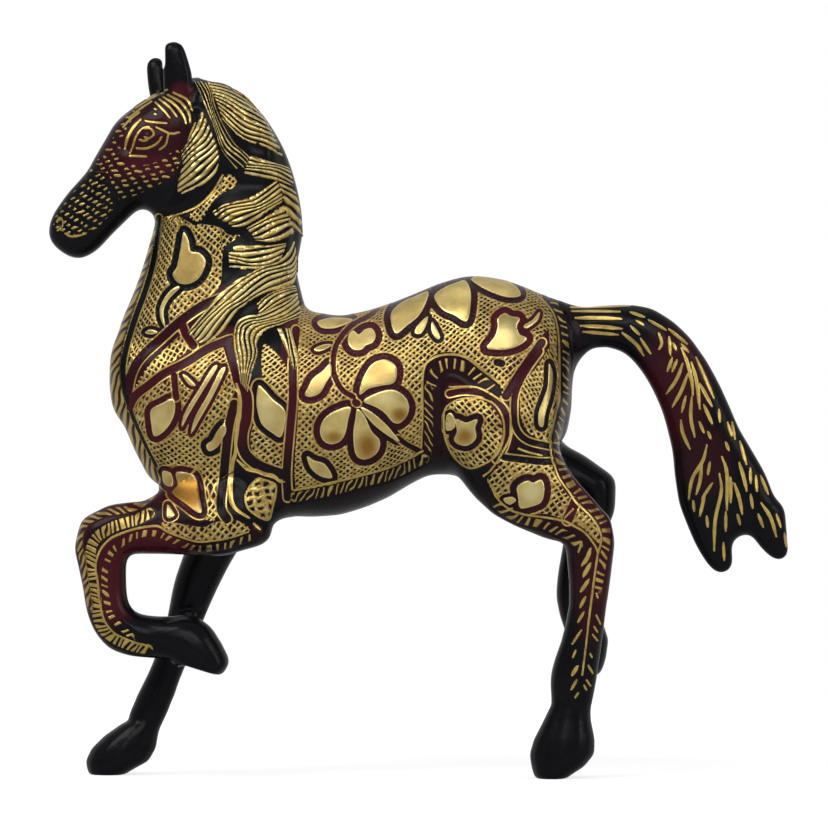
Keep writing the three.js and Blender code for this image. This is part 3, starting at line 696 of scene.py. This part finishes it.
# the trunk's middle rises a little towards the tail
TRUNK_MIDDLE, TRUNK_RISE, TRUNK_HALF_WIDTH = 125.0, 0.08, 26.0
NECK_MIDDLE, NECK_HALF_WIDTH = -66.0, 17.0
plane = places[:, [0, 2]]
trunk_girth = girth(places[:, 2], TRUNK_MIDDLE + TRUNK_RISE * places[:, 0], TRUNK_HALF_WIDTH)
neck_girth = girth(places[:, 0], NECK_MIDDLE, NECK_HALF_WIDTH)
pattern = ink(plane, LINE_RUNS, BLUSH, PATINA_AND_PAINTED_LIGHT, PANELS, PETALS, DASHES, PLAINS + BORDERS)


# half widths of a far leg's line and of the strokes beside it, with their starts and ends from that line
FAR_SPINE = 1.1
FAR_STROKES = [(1.4, (-3.5, 1), (-9, 11)), (1.2, (3.5, 1), (8, 9))]


def far_strokes(name, bottom, top, step):
    """A brass line down a far leg with slanting strokes on both sides of it."""
    own = places[(point_owner == name) & (normals[:, 1] > 0.3)]
    spine = []
    for height in np.arange(top, bottom, -step):
        row = own[np.abs(own[:, 2] - height) < step / 2, 0]
        if len(row):
            spine.append((SHEET_X + (row.min() + row.max()) / 2 / UNIT, SHEET_Y - height / UNIT))
    made = [(FAR_SPINE, spine)]
    for x, y in spine[:-1]:
        for half, (x0, y0), (x1, y1) in FAR_STROKES:
            made.append((half, [(x + x0, y + y0), (x + x1, y + y1)]))
    return made


# far legs with strokes: name, height of their lower and upper end, step, in mm
far_legs = [("right_foreleg", 34, 92, 4.2), ("right_hind_leg", 62, 108, 4.2)]
far_lines = [stroke for leg in far_legs for stroke in far_strokes(*leg)]
far = np.isin(point_owner, [name for name, *_ in far_legs])
far_pattern = ink(plane[far], far_lines)

# the inner faces of the legs stay plain
INWARD = 0.12
FADE = 8
lateral = np.full(len(places), -1.0)
for name in ("left_foreleg", "left_hind_leg"):
    own = point_owner == name
    lateral[own] = normals[own, 1] + INWARD
lateral[far] = INWARD - normals[far, 1]
hidden = np.clip(lateral * FADE, 0, None)
for key, values in pattern.items():
    values[far] = far_pattern[key]
pattern["cut"] += hidden[:, None]
pattern["line"][:, 0] += hidden


def inside(distance, soft=0.18):
    return 1 - ramp(distance, -soft, soft)


# lacquered grooves lie lower than the metal round them, in mm
PETAL_GROOVE, BAND_GROOVE, PANEL_GROOVE, LINE_GROOVE = 0.32, 0.28, 0.1, 0.22
GROOVE_END, GROOVE_SOFT = 1.8, 0.35
petal, band, panel = pattern["cut"].T
line = pattern["line"][:, 0]
depth = PETAL_GROOVE * inside(petal - GROOVE_END, GROOVE_SOFT) * (1 - inside(petal, GROOVE_SOFT))
depth = np.maximum(depth, BAND_GROOVE * inside(band, GROOVE_SOFT))
depth = np.maximum(depth, PANEL_GROOVE * inside(panel))
depth = np.where(petal < 0.3, depth * ramp(petal, 0.0, 0.3), depth)
depth = np.maximum(depth, LINE_GROOVE * inside(line, 0.3))

# shallow forms that the castings' sections leave out: amount outwards in mm, radius, place
SWELLS = [
    (1.3, 7.0, (150, 138)),
    (-0.7, 6.0, (128, 150)),
    (0.8, 9.0, (180, 168)),
    (0.9, 26.0, (471, 430)),
    (-0.7, 4.0, (61, 224)),
]
swell = np.zeros(len(places))
for amount, radius, place in SWELLS:
    (x, z), = sheet([place])
    d = np.hypot(places[:, 0] - x, places[:, 2] - z) / (radius * UNIT)
    swell += amount * np.exp(-d * d)

# creases: depth and width in mm, line
CREASES = [
    (0.9, 1.6, "226,172 214,192 197,206 172,215"),
    (0.7, 1.2, "169,617 186,613 202,613"),
    (0.5, 1.2, "196,115 192,140 188,170 178,188"),
]
for amount, wide, path in CREASES:
    run = curve(sheet(path))
    pick = close_to(plane, run, 5)
    d, _, _ = line_distance(plane[pick], run)
    swell[pick] -= amount * np.exp(-((d / wide) ** 2))
swell *= np.clip(np.abs(normals[:, 1]) * 2 - 0.3, 0, 1)
move = swell - depth
on_seam = np.abs(places[:, 1]) < 1e-6
move[on_seam] *= 0.5
carved = places + normals * move[:, None]
carved[on_seam, 1] = 0
carved[:, 2] = np.maximum(carved[:, 2], 0)
carved_normals = point_normals(carved, quads)


# Materials


class Nodes:
    """Builds the nodes of a material or of the world."""

    def __init__(self, owner):
        owner.use_nodes = True
        self.owner = owner
        self.tree = owner.node_tree
        self.surface = self.tree.nodes.get("Principled BSDF")

    def add(self, kind, inputs=None, **settings):
        node = self.tree.nodes.new(kind)
        for key, value in settings.items():
            setattr(node, key, value)
        for key, value in (inputs or {}).items():
            self.feed(node.inputs[key], value)
        return node

    def feed(self, socket, value):
        if isinstance(value, bpy.types.NodeSocket):
            self.tree.links.new(value, socket)
        else:
            socket.default_value = value

    def set(self, name, value):
        self.feed(self.surface.inputs[name], value)

    def math(self, operation, a, b=0.0):
        return self.add("ShaderNodeMath", {0: a, 1: b}, operation=operation).outputs[0]

    def most(self, a, b):
        return self.math("MAXIMUM", a, b)

    def less(self, a, b):
        return self.math("SUBTRACT", a, b)

    def sum(self, a, b):
        return self.math("ADD", a, b)

    def product(self, *factors):
        result = factors[0]
        for factor in factors[1:]:
            result = self.math("MULTIPLY", result, factor)
        return result

    def without(self, share):
        return self.less(1.0, share)

    def span(self, value, start, end, low=0.0, high=1.0):
        limits = {"From Min": start, "From Max": end, "To Min": low, "To Max": high}
        return self.add("ShaderNodeMapRange", {"Value": value, **limits}).outputs[0]

    def within(self, distance, edge=0.0, soft=0.07):
        return self.span(distance, edge + soft, edge - soft)

    def blend(self, share, a, b):
        return self.add("ShaderNodeMix", {0: share, 2: a, 3: b}, data_type="FLOAT").outputs[0]

    def tint(self, share, a, b):
        return self.add("ShaderNodeMix", {0: share, 6: a, 7: b}, data_type="RGBA").outputs[2]

    def noise(self, scale, detail=3.0):
        place = self.add("ShaderNodeTexCoord").outputs["Object"]
        inputs = {"Vector": place, "Scale": scale, "Detail": detail, "Roughness": 0.6}
        return self.add("ShaderNodeTexNoise", inputs).outputs[0]

    def wave(self, value):
        """0 in the middle of each whole step of value, 1 between steps."""
        part = self.math("FRACT", value)
        return self.math("ABSOLUTE", self.less(self.product(part, 2.0), 1.0))

    def measure(self, name):
        node = self.add("ShaderNodeAttribute", attribute_name=name)
        return self.add("ShaderNodeSeparateXYZ", {0: node.outputs["Vector"]}).outputs


BLACK = (0.0048, 0.0048, 0.0066, 1)
BURGUNDY = (0.066, 0.0075, 0.0135, 1)
# besides the brass's own paler and browner tones, GOLD_PALE also paints highlights, and GOLD_DEEP and AMBER
# paint shade
GOLD = (0.76, 0.55, 0.165, 1)
GOLD_DEEP = (0.32, 0.205, 0.06, 1)
GOLD_PALE = (0.86, 0.72, 0.33, 1)
AMBER = (0.36, 0.18, 0.035, 1)
LACQUER_GLOSS = 0.12
# where the lacquer round a petal ends and where the brass line round that ends
PETAL_LACQUER, PETAL_LINE = 1.9, 2.45


def engraved_material():
    n = Nodes(bpy.data.materials.new("engraved_lacquer"))
    petal_d, band_d, panel_d = n.measure("cut")
    u, v, red = n.measure("hatch")
    run, cross, style = n.measure("stroke")
    line_d, tone, dash_d = n.measure("line")
    fleck = n.noise(900.0, 2.0)
    cloud = n.noise(70.0, 3.0)
    patch = n.noise(260.0, 2.0)
    waver = n.span(n.noise(330.0, 1.0), 0.0, 1.0, -0.45, 0.45)
    wave_u = n.wave(n.sum(u, waver))
    wave_v = n.wave(n.less(v, waver))

    petal = n.within(petal_d)
    line = n.within(line_d)
    in_panel = n.within(panel_d)
    size = n.span(n.noise(120.0, 2.0), 0.3, 0.7, -0.2, 0.14)
    dots = n.product(
        n.within(n.less(wave_u, size), 0.58, 0.14),
        n.within(n.less(wave_v, size), 0.62, 0.14),
    )
    dash = n.product(n.within(dash_d), n.within(wave_u, 0.42, 0.12), n.within(wave_v, 0.36, 0.14))
    is_cut = n.math("GREATER_THAN", style, 0.1)
    across = n.within(n.math("ABSOLUTE", cross), 0.94, 0.1)
    strokes = n.product(is_cut, n.within(n.less(n.wave(run), style), 0.0, 0.1), across)
    band = n.within(band_d)
    edge = n.product(n.within(band_d, 0.5), n.without(is_cut))

    metal = n.most(n.product(in_panel, n.without(dots)), n.within(petal_d, PETAL_LINE))
    metal = n.product(metal, n.without(n.within(petal_d, PETAL_LACQUER)))
    metal = n.blend(band, n.most(metal, edge), strokes)
    smooth = n.most(petal, line)
    metal = n.most(n.most(metal, smooth), dash)

    # in the hatching the ridges are painted bright and the valleys dull: painted highlight on the ridges,
    # painted shade in the valleys
    ridges = n.most(wave_u, n.product(wave_v, 0.85))
    hatched = n.product(in_panel, n.without(smooth))
    painted_ridge_light = n.product(ridges, ridges, n.span(patch, 0.3, 0.7, 0.6, 1.3))
    gold = n.tint(n.blend(hatched, n.span(patch, 0.3, 0.65, 0.4, 1.0), painted_ridge_light), GOLD_DEEP, GOLD)
    gold = n.tint(n.product(hatched, n.span(fleck, 0.52, 0.68, 0.0, 0.75)), gold, GOLD_PALE)
    gold = n.tint(n.product(hatched, n.span(fleck, 0.48, 0.32, 0.0, 0.6)), gold, AMBER)
    # a painted highlight just inside each petal's edge, for the glint of its cut bevel
    painted_petal_glint = n.within(n.math("ABSOLUTE", n.sum(petal_d, 0.2)), 0.2)
    gold = n.tint(n.product(painted_petal_glint, 0.8), gold, GOLD_PALE)
    gold = n.tint(n.product(petal, cloud, 0.6), gold, GOLD_PALE)
    # the tone measure lightens or browns the brass: patina, and painted highlight and shade on petals,
    # folds and the strands' flanks
    gold = n.tint(n.most(tone, 0.0), gold, GOLD_PALE)
    gold = n.tint(n.most(n.product(tone, -1.0), 0.0), gold, AMBER)
    lacquer = n.tint(red, BLACK, BURGUNDY)
    n.set("Base Color", n.tint(metal, lacquer, gold))
    n.set("Metallic", metal)
    rough = n.blend(metal, n.span(fleck, 0.3, 0.7, 0.18, 0.3), n.span(cloud, 0.3, 0.7, 0.28, 0.42))
    n.set("Roughness", rough)
    n.set("Specular IOR Level", LACQUER_GLOSS)
    height = n.sum(n.product(metal, 0.45), n.product(hatched, ridges, 0.5))
    height = n.sum(height, n.product(n.sum(patch, fleck), 0.14))
    bump = n.add("ShaderNodeBump", {"Strength": 0.8, "Distance": 0.0003, "Height": height})
    n.set("Normal", bump.outputs[0])
    return n.owner


def brass_material():
    n = Nodes(bpy.data.materials.new("bare_brass"))
    cloud = n.noise(90.0)
    n.set("Base Color", n.tint(cloud, GOLD_DEEP, GOLD))
    n.set("Metallic", 1.0)
    n.set("Roughness", n.span(cloud, 0.3, 0.7, 0.3, 0.5))
    return n.owner


engraved = engraved_material()
brass = brass_material()


# Pieces

CHART_GAP = 1.5


def unwrap(mesh, count):
    """A box projection for baked maps: a chart for each of six directions, on shelves, caps left out."""
    owner = read(mesh.loops, "vertex_index", np.int32, 1)[: 4 * count, 0]
    facing = read(mesh.polygons, "normal", np.float32, 3)[:count]
    axis = np.argmax(np.abs(facing) * (1, 2, 1), 1)
    ahead = np.take_along_axis(facing, axis[:, None], 1)[:, 0] > 0
    chart = np.repeat(2 * axis + ahead, 4)
    flat = read(mesh.vertices, "co", np.float32, 3)[owner]
    gap = CHART_GAP * MM
    charts = []
    for number in np.unique(chart):
        pick = np.nonzero(chart == number)[0]
        seen = flat[pick][:, ((2, 1), (0, 2), (0, 1))[number // 2]]
        charts.append((seen.max(0) - seen.min(0) + gap, pick, seen - seen.min(0) + gap / 2))
    charts.sort(key=lambda c: -c[0][1])
    wide = max(size[0] for size, _, _ in charts)
    uv = np.zeros((len(mesh.loops), 2), np.float32)
    x = y = shelf = 0.0
    for size, pick, seen in charts:
        if x + size[0] > wide + gap:
            x, y, shelf = 0.0, y + shelf, 0.0
        uv[pick] = seen + (x, y)
        x += size[0]
        shelf = max(shelf, size[1])
    uv /= max(wide, y + shelf)
    mesh.uv_layers.new(name="OFBake").data.foreach_set("uv", uv.ravel())


def piece(name, points, faces, shading, measures, node):
    """A closed mesh in mm, with its pattern and shading, that takes the place of a CAD node."""
    mesh = bpy.data.meshes.new(name)
    mesh.from_pydata(points * MM, [], faces)
    solid = bmesh.new()
    solid.from_mesh(mesh)
    rims = [edge for edge in solid.edges if edge.is_boundary]
    bmesh.ops.holes_fill(solid, edges=rims, sides=0)
    solid.to_mesh(mesh)
    solid.free()
    mesh.update()
    for key, values in measures.items():
        attribute = mesh.attributes.new(key, "FLOAT_VECTOR", "POINT")
        attribute.data.foreach_set("vector", np.ascontiguousarray(values, np.float32).ravel())
    unwrap(mesh, len(faces))
    mesh.polygons.foreach_set("use_smooth", np.ones(len(mesh.polygons), bool))
    if shading is not None:
        mesh.normals_split_custom_set_from_vertices(shading)
    mesh.materials.append(engraved)
    thing = bpy.data.objects.new(name, mesh)
    bpy.context.scene.collection.objects.link(thing)
    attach(thing, "root")
    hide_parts(node)


for name in SHELLS + LIMBS:
    chosen = quads[face_owner == name]
    used, faces = np.unique(chosen, return_inverse=True)
    piece(
        name + "_skin",
        carved[used],
        faces.reshape(-1, 4).tolist(),
        carved_normals[used],
        {key: values[used] for key, values in pattern.items()},
        name,
    )

# locks of the mane: number of strands, tone and share of their brass, lines across from root to tip
LOCKS = [
    (9, 0.15, 0.62, "203,109 212,128 220.5,150 221,165 | 198,125 203,141 209,160 217,178 | 190,140 "
     "193,157 198,172 207,186 | 182,152 181,170 179,184 178,199"),
    (10, 0.1, 0.62, "205,81 212,95 218,108 222,120 | 219,84 225,97 229,111 231,131 | 232,88 239,103 "
     "244,119 246,143 | 242,93.5 253,109 261,128 266,150 | 249,99 264,117 276,139 285,160"),
    (5, -0.2, 0.34, "193,79 208,82 | 199,92 214,94 | 206,110 217,106 | 214,128 225,125 | 221.5,150 "
     "236,144 | 230,163 247,154 | 239,175 254,160"),
    (5, 0.2, 0.6, "251,155 241,176 | 265,160 262,180 | 280,164.5 279,183 | 290,168 295,188"),
    (5, 0, 0.62, "278,181 283,195 286,212 291,229 | 287,186 291,200 294,216 297,232 | 296,191 300,206 "
     "302,221 303,237"),
    (6, 0.2, 0.64, "280,179 284,188 287,201 | 264,190 268,201 273,211 | 252,197 257,209 261,220 | "
     "239,200.5 244,213 249,227 | 225,205 231,216 240,229 | 212,213 219,219 231,228.5"),
    (5, 0.1, 0.62, "287,203 292,218 296,235 | 273,212 279,227 284,242 | 259,222 265,232 270,244 | "
     "247,229 252,235 257,242"),
    (5, 0.25, 0.64, "291,242 287,250 281,264 | 272,245.5 272,256 270,268 | 256,245 256,257 256,271 | "
     "243,245 243,258 243,272 | 230,246.5 230,259 231,272"),
    (6, 0.2, 0.66, "296,235 298,254 298,271 | 290,248 293,266 294,285 | 280,259 283,273 285,290 | "
     "264,266.5 267,279 269.5,293.5 | 247.5,275 252,288 256,299.5 | 233,283 239,296 246,307.5 | 220,294 "
     "227,305 237,316 | 207.5,308.5 215,318 226.5,331 | 194.5,325.5 202,332 214.5,342 | 188,333 "
     "195,338.5 204,346"),
    (4, 0.05, 0.62, "297,284 300,296 | 281,289 284,303 | 268,295 271,310 | 257,304 261,316"),
    (6, 0.2, 0.66, "299,290 303,303 306,316 | 290,299.5 291,311 291,322 | 275,307 278,317 280,327 | "
     "260,313.5 265,322 269.5,331 | 247,316 254,327 262,338 | 238,322 248,334 259,346 | 234,334 245,343 "
     "260,353 | 234.5,348 245,354 258.5,361 | 237.5,362 245,367 254.5,374 | 242,383 246,388 250,393"),
    (3, 0.25, 0.58, "275,328 293,328 | 283,345 299,346 | 289,358 301,358 | 294,370 297,370"),
]

# sideways sway of the strands in strand widths, length of one sway in mm, lag across the lock and from
# lock to lock in turns
SWAY, SWAY_LENGTH, SWAY_LAG, LOCK_LAG = 0.6, 25.0, 0.5, 0.37
COLUMNS = 6
# the whole lock counts as a border, whose strokes are the strands
IN_BAND = -3.0


def lock_grid(order, strands, rungs):
    """Points of a lock on the figure's plane: rows along it, strand by strand across."""
    count = strands * COLUMNS + 1
    across = np.linspace(0, 1, count)
    lines = []
    for rung in rungs.split(" | "):
        run = curve(sheet(rung), steps=12)
        size = np.concatenate(([0], np.cumsum(np.linalg.norm(np.diff(run, axis=0), axis=1))))
        size /= size[-1]
        lines.append(np.stack([np.interp(across, size, run[:, k]) for k in range(2)], 1))
    lines = np.stack(lines)
    run = np.stack([curve(lines[:, i], steps=10) for i in range(count)], 1)
    # the strands waver, so that neighbours bunch and part along the lock
    length = np.linalg.norm(np.diff(run, axis=0), axis=2).sum(0).mean()
    along = np.linspace(0, length / SWAY_LENGTH, len(run))[:, None]
    sway = np.sin(2 * np.pi * (along + SWAY_LAG * across + LOCK_LAG * order))
    moved = across + SWAY / strands * sway * 4 * across * (1 - across)
    for row, at in zip(run, moved):
        row[:] = np.stack([np.interp(at, across, row[:, k]) for k in range(2)], 1)
    return across, run


def quad(a, b, c, d):
    return np.stack((a.ravel(), b.ravel(), c.ravel(), d.ravel()), 1)


# heights over the skin in mm: a lock's edge, its arch, a strand's ridge, and how deep the whole and its
# root are sunk
LOCK_EDGE, LOCK_ARCH, STRAND_RIDGE, LOCK_SUNK, LOCK_ROOT = 0.2, 1.1, 0.85, 0.55, 1.6
# a lock rises at its root and falls towards its tip, as shares of its length and height
ROOT_RISE, TIP_START, TIP_FALL = 0.06, 0.75, 0.45
# how much strands differ in width, in tone from one to the next and along themselves, and how strongly
# painted highlight and shade lie across each strand
WIDTH_CHANGE, STRAND_TONE, ALONG_TONE, FLANK_PAINTED_LIGHT = 0.13, 0.25, 0.3, 0.75


def mane(side, surface):
    """The locks of one side as closed bodies on the skin: points, faces and pattern measures."""
    points, faces, strokes, tones = [], [], [], []
    start = 0
    for order, (strands, tone, share, rungs) in enumerate(LOCKS):
        across, run = lock_grid(order, strands, rungs)
        rows, count = run.shape[:2]
        along = np.linspace(0, 1, rows)[:, None]
        base = on_surface(surface, run[..., 0], run[..., 1])
        arch = (1 - np.abs(2 * across - 1) ** 3)[None, :]
        ends = ramp(along, 0.0, ROOT_RISE) * (1 - TIP_FALL * ramp(along, TIP_START, 1.0))
        strand = np.sqrt(np.abs(np.sin(np.pi * strands * across)))[None, :]
        ridge = STRAND_RIDGE * strand * np.minimum(ends + 0.3, 1)
        height = (LOCK_EDGE + LOCK_ARCH * arch) * ends + ridge - LOCK_SUNK
        top = np.stack((run[..., 0], base + side * height, run[..., 1]), -1)
        under = np.stack((run[..., 0], base - side * LOCK_ROOT, run[..., 1]), -1)
        points += [top.reshape(-1, 3), under.reshape(-1, 3)]
        phase = np.broadcast_to(strands * across, (rows, count)).ravel()
        place = np.broadcast_to(along, (rows, count)).ravel()
        # each strand has its own width and tone, which change along it, and its upper flank is painted
        # lighter than its lower one, as painted highlight and shade; the factors in the sines only keep
        # neighbours apart
        number = np.floor(phase - 1e-6)
        width = share - 0.02 + WIDTH_CHANGE * np.sin(8.3 * place + 5.3 * number + 2.1 * order)
        strokes += [np.stack((phase, 0.2 * place, width), 1)] * 2
        shade = tone + STRAND_TONE * np.sin(12.9898 * number + 7.1 * order)
        shade = shade + ALONG_TONE * np.sin(11.0 * place + 3.7 * number + order)
        shade = shade + FLANK_PAINTED_LIGHT * np.cos(2 * np.pi * (phase - 0.4))
        tones += [np.stack((np.full_like(phase, FAR), shade, np.full_like(phase, FAR)), 1)] * 2
        index = start + np.arange(rows * count).reshape(rows, count)
        below = index + rows * count
        start += 2 * rows * count
        sides = [quad(index[:-1, :-1], index[1:, :-1], index[1:, 1:], index[:-1, 1:])]
        sides.append(quad(below[:-1, :-1], below[:-1, 1:], below[1:, 1:], below[1:, :-1]))
        rims = [(index[:, 0], below[:, 0]), (index[::-1, -1], below[::-1, -1])]
        rims += [(index[0, ::-1], below[0, ::-1]), (index[-1], below[-1])]
        for edge, lower in rims:
            sides.append(quad(edge[:-1], lower[:-1], lower[1:], edge[1:]))
        # faces look outwards whichever way the lock's lines run
        down, over = run[-1, 0] - run[0, 0], run[0, -1] - run[0, 0]
        clockwise = down[0] * over[1] - down[1] * over[0] > 0
        faces += [f[:, ::-1] if clockwise == (side < 0) else f for f in sides]
    points = np.concatenate(points)
    faces = np.concatenate(faces)
    measures = {
        "cut": np.tile((FAR, IN_BAND, FAR), (len(points), 1)),
        "hatch": np.zeros((len(points), 3)),
        "stroke": np.concatenate(strokes),
        "line": np.concatenate(tones),
    }
    return points, faces.tolist(), measures


for side, node in ((-1, SHELLS[0]), (1, SHELLS[1])):
    points, faces, measures = mane(side, outer_surface(side))
    piece(node.replace("body", "mane"), points, faces, None, measures, node)

for name in PINS:
    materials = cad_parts[name].data.materials
    materials.clear()
    materials.append(brass)


# Stage, light and camera

# the floor's own light near the figure, where it meets white, how much of it metal shows, its grey
FLOOR_GLOW, GLOW_START, GLOW_END = 0.74, 0.15, 0.6
FLOOR_SHOWN = 0.18
FLOOR_GREY = (0.5, 0.5, 0.5, 1)
FLOOR = [(-1.2, -2.4, 0), (1.2, -2.4, 0), (1.2, 0.7, 0), (-1.2, 0.7, 0)]
floor_mesh = bpy.data.meshes.new("floor")
floor_mesh.from_pydata(FLOOR, [], [(0, 1, 2, 3)])
floor = bpy.data.objects.new("floor", floor_mesh)
scene = bpy.context.scene
scene.collection.objects.link(floor)
paint = Nodes(bpy.data.materials.new("floor"))
paint.set("Base Color", FLOOR_GREY)
paint.set("Roughness", 0.9)
paint.set("Specular IOR Level", 0.0)
rays = paint.add("ShaderNodeLightPath").outputs
shown = paint.most(rays["Is Glossy Ray"], rays["Is Transmission Ray"])
shown = paint.most(rays["Is Camera Ray"], paint.product(shown, FLOOR_SHOWN))
place = paint.add("ShaderNodeTexCoord").outputs["Object"]
spread = paint.add("ShaderNodeVectorMath", {0: place}, operation="LENGTH").outputs["Value"]
glow = paint.span(spread, GLOW_START, GLOW_END, FLOOR_GLOW, 1.0)
white = paint.add("ShaderNodeEmission", {"Strength": paint.product(shown, glow)})
both = paint.add("ShaderNodeAddShader", {0: paint.surface.outputs[0], 1: white.outputs[0]})
paint.feed(paint.tree.nodes["Material Output"].inputs["Surface"], both.outputs[0])
floor_mesh.materials.append(paint.owner)

WHITE = (1, 1, 1, 1)
DAYLIGHT = (0.96, 0.98, 1.0, 1)
AMBIENT = 0.3
MIRROR_FRONT, MIRROR_BACK = 0.26, 0.6
world = Nodes(bpy.data.worlds.new("studio"))
scene.world = world.owner


def sky(colour, strength):
    return world.add("ShaderNodeBackground", {"Color": colour, "Strength": strength}).outputs[0]


# the studio seen in gloss is brighter behind the figure than on the camera's side
direction = world.add("ShaderNodeTexCoord").outputs["Generated"]
backwards = world.add("ShaderNodeSeparateXYZ", {0: direction}).outputs["Y"]
mirrored = sky(WHITE, world.span(backwards, -0.6, 0.9, MIRROR_FRONT, MIRROR_BACK))
rays = world.add("ShaderNodeLightPath").outputs
seen_by = {"Is Glossy Ray": mirrored, "Is Transmission Ray": mirrored, "Is Camera Ray": sky(WHITE, 1.0)}
lit = sky(DAYLIGHT, AMBIENT)
for ray, light in seen_by.items():
    lit = world.add("ShaderNodeMixShader", {0: rays[ray], 1: lit, 2: light}).outputs[0]
world.feed(world.tree.nodes["World Output"].inputs[0], lit)


def softbox(name, place, size, watts):
    light = bpy.data.lights.new(name, "AREA")
    light.shape = "RECTANGLE"
    light.size, light.size_y = size
    light.energy = watts
    thing = bpy.data.objects.new(name, light)
    scene.collection.objects.link(thing)
    thing.location = place
    thing.rotation_euler = (CENTRE - Vector(place)).to_track_quat("-Z", "Y").to_euler()


CENTRE = Vector((0, 0, 0.12))
softbox("key", (-0.8, -1.0, 1.3), (0.9, 0.8), 11)
softbox("front", (0.2, -2.2, 1.2), (1.4, 0.9), 12)
softbox("top", (0.0, 0.15, 1.5), (1.0, 0.7), 1.5)
softbox("side", (1.3, -0.7, 0.6), (0.5, 0.9), 3.5)

DISTANCE = 2.5
PICTURE = 828
SENSOR = 36
camera_data = bpy.data.cameras.new("camera")
camera = bpy.data.objects.new("camera", camera_data)
scene.collection.objects.link(camera)
scene.camera = camera
camera_data.sensor_width = SENSOR
camera_data.lens = SENSOR * DISTANCE / (PICTURE * UNIT * MM)
camera_data.clip_end = 50
camera.location = ((PICTURE / 2 - SHEET_X) * UNIT * MM, -DISTANCE, (SHEET_Y - PICTURE / 2) * UNIT * MM)
camera.rotation_euler = (math.radians(90), 0, 0)

scene.view_settings.view_transform = "Standard"
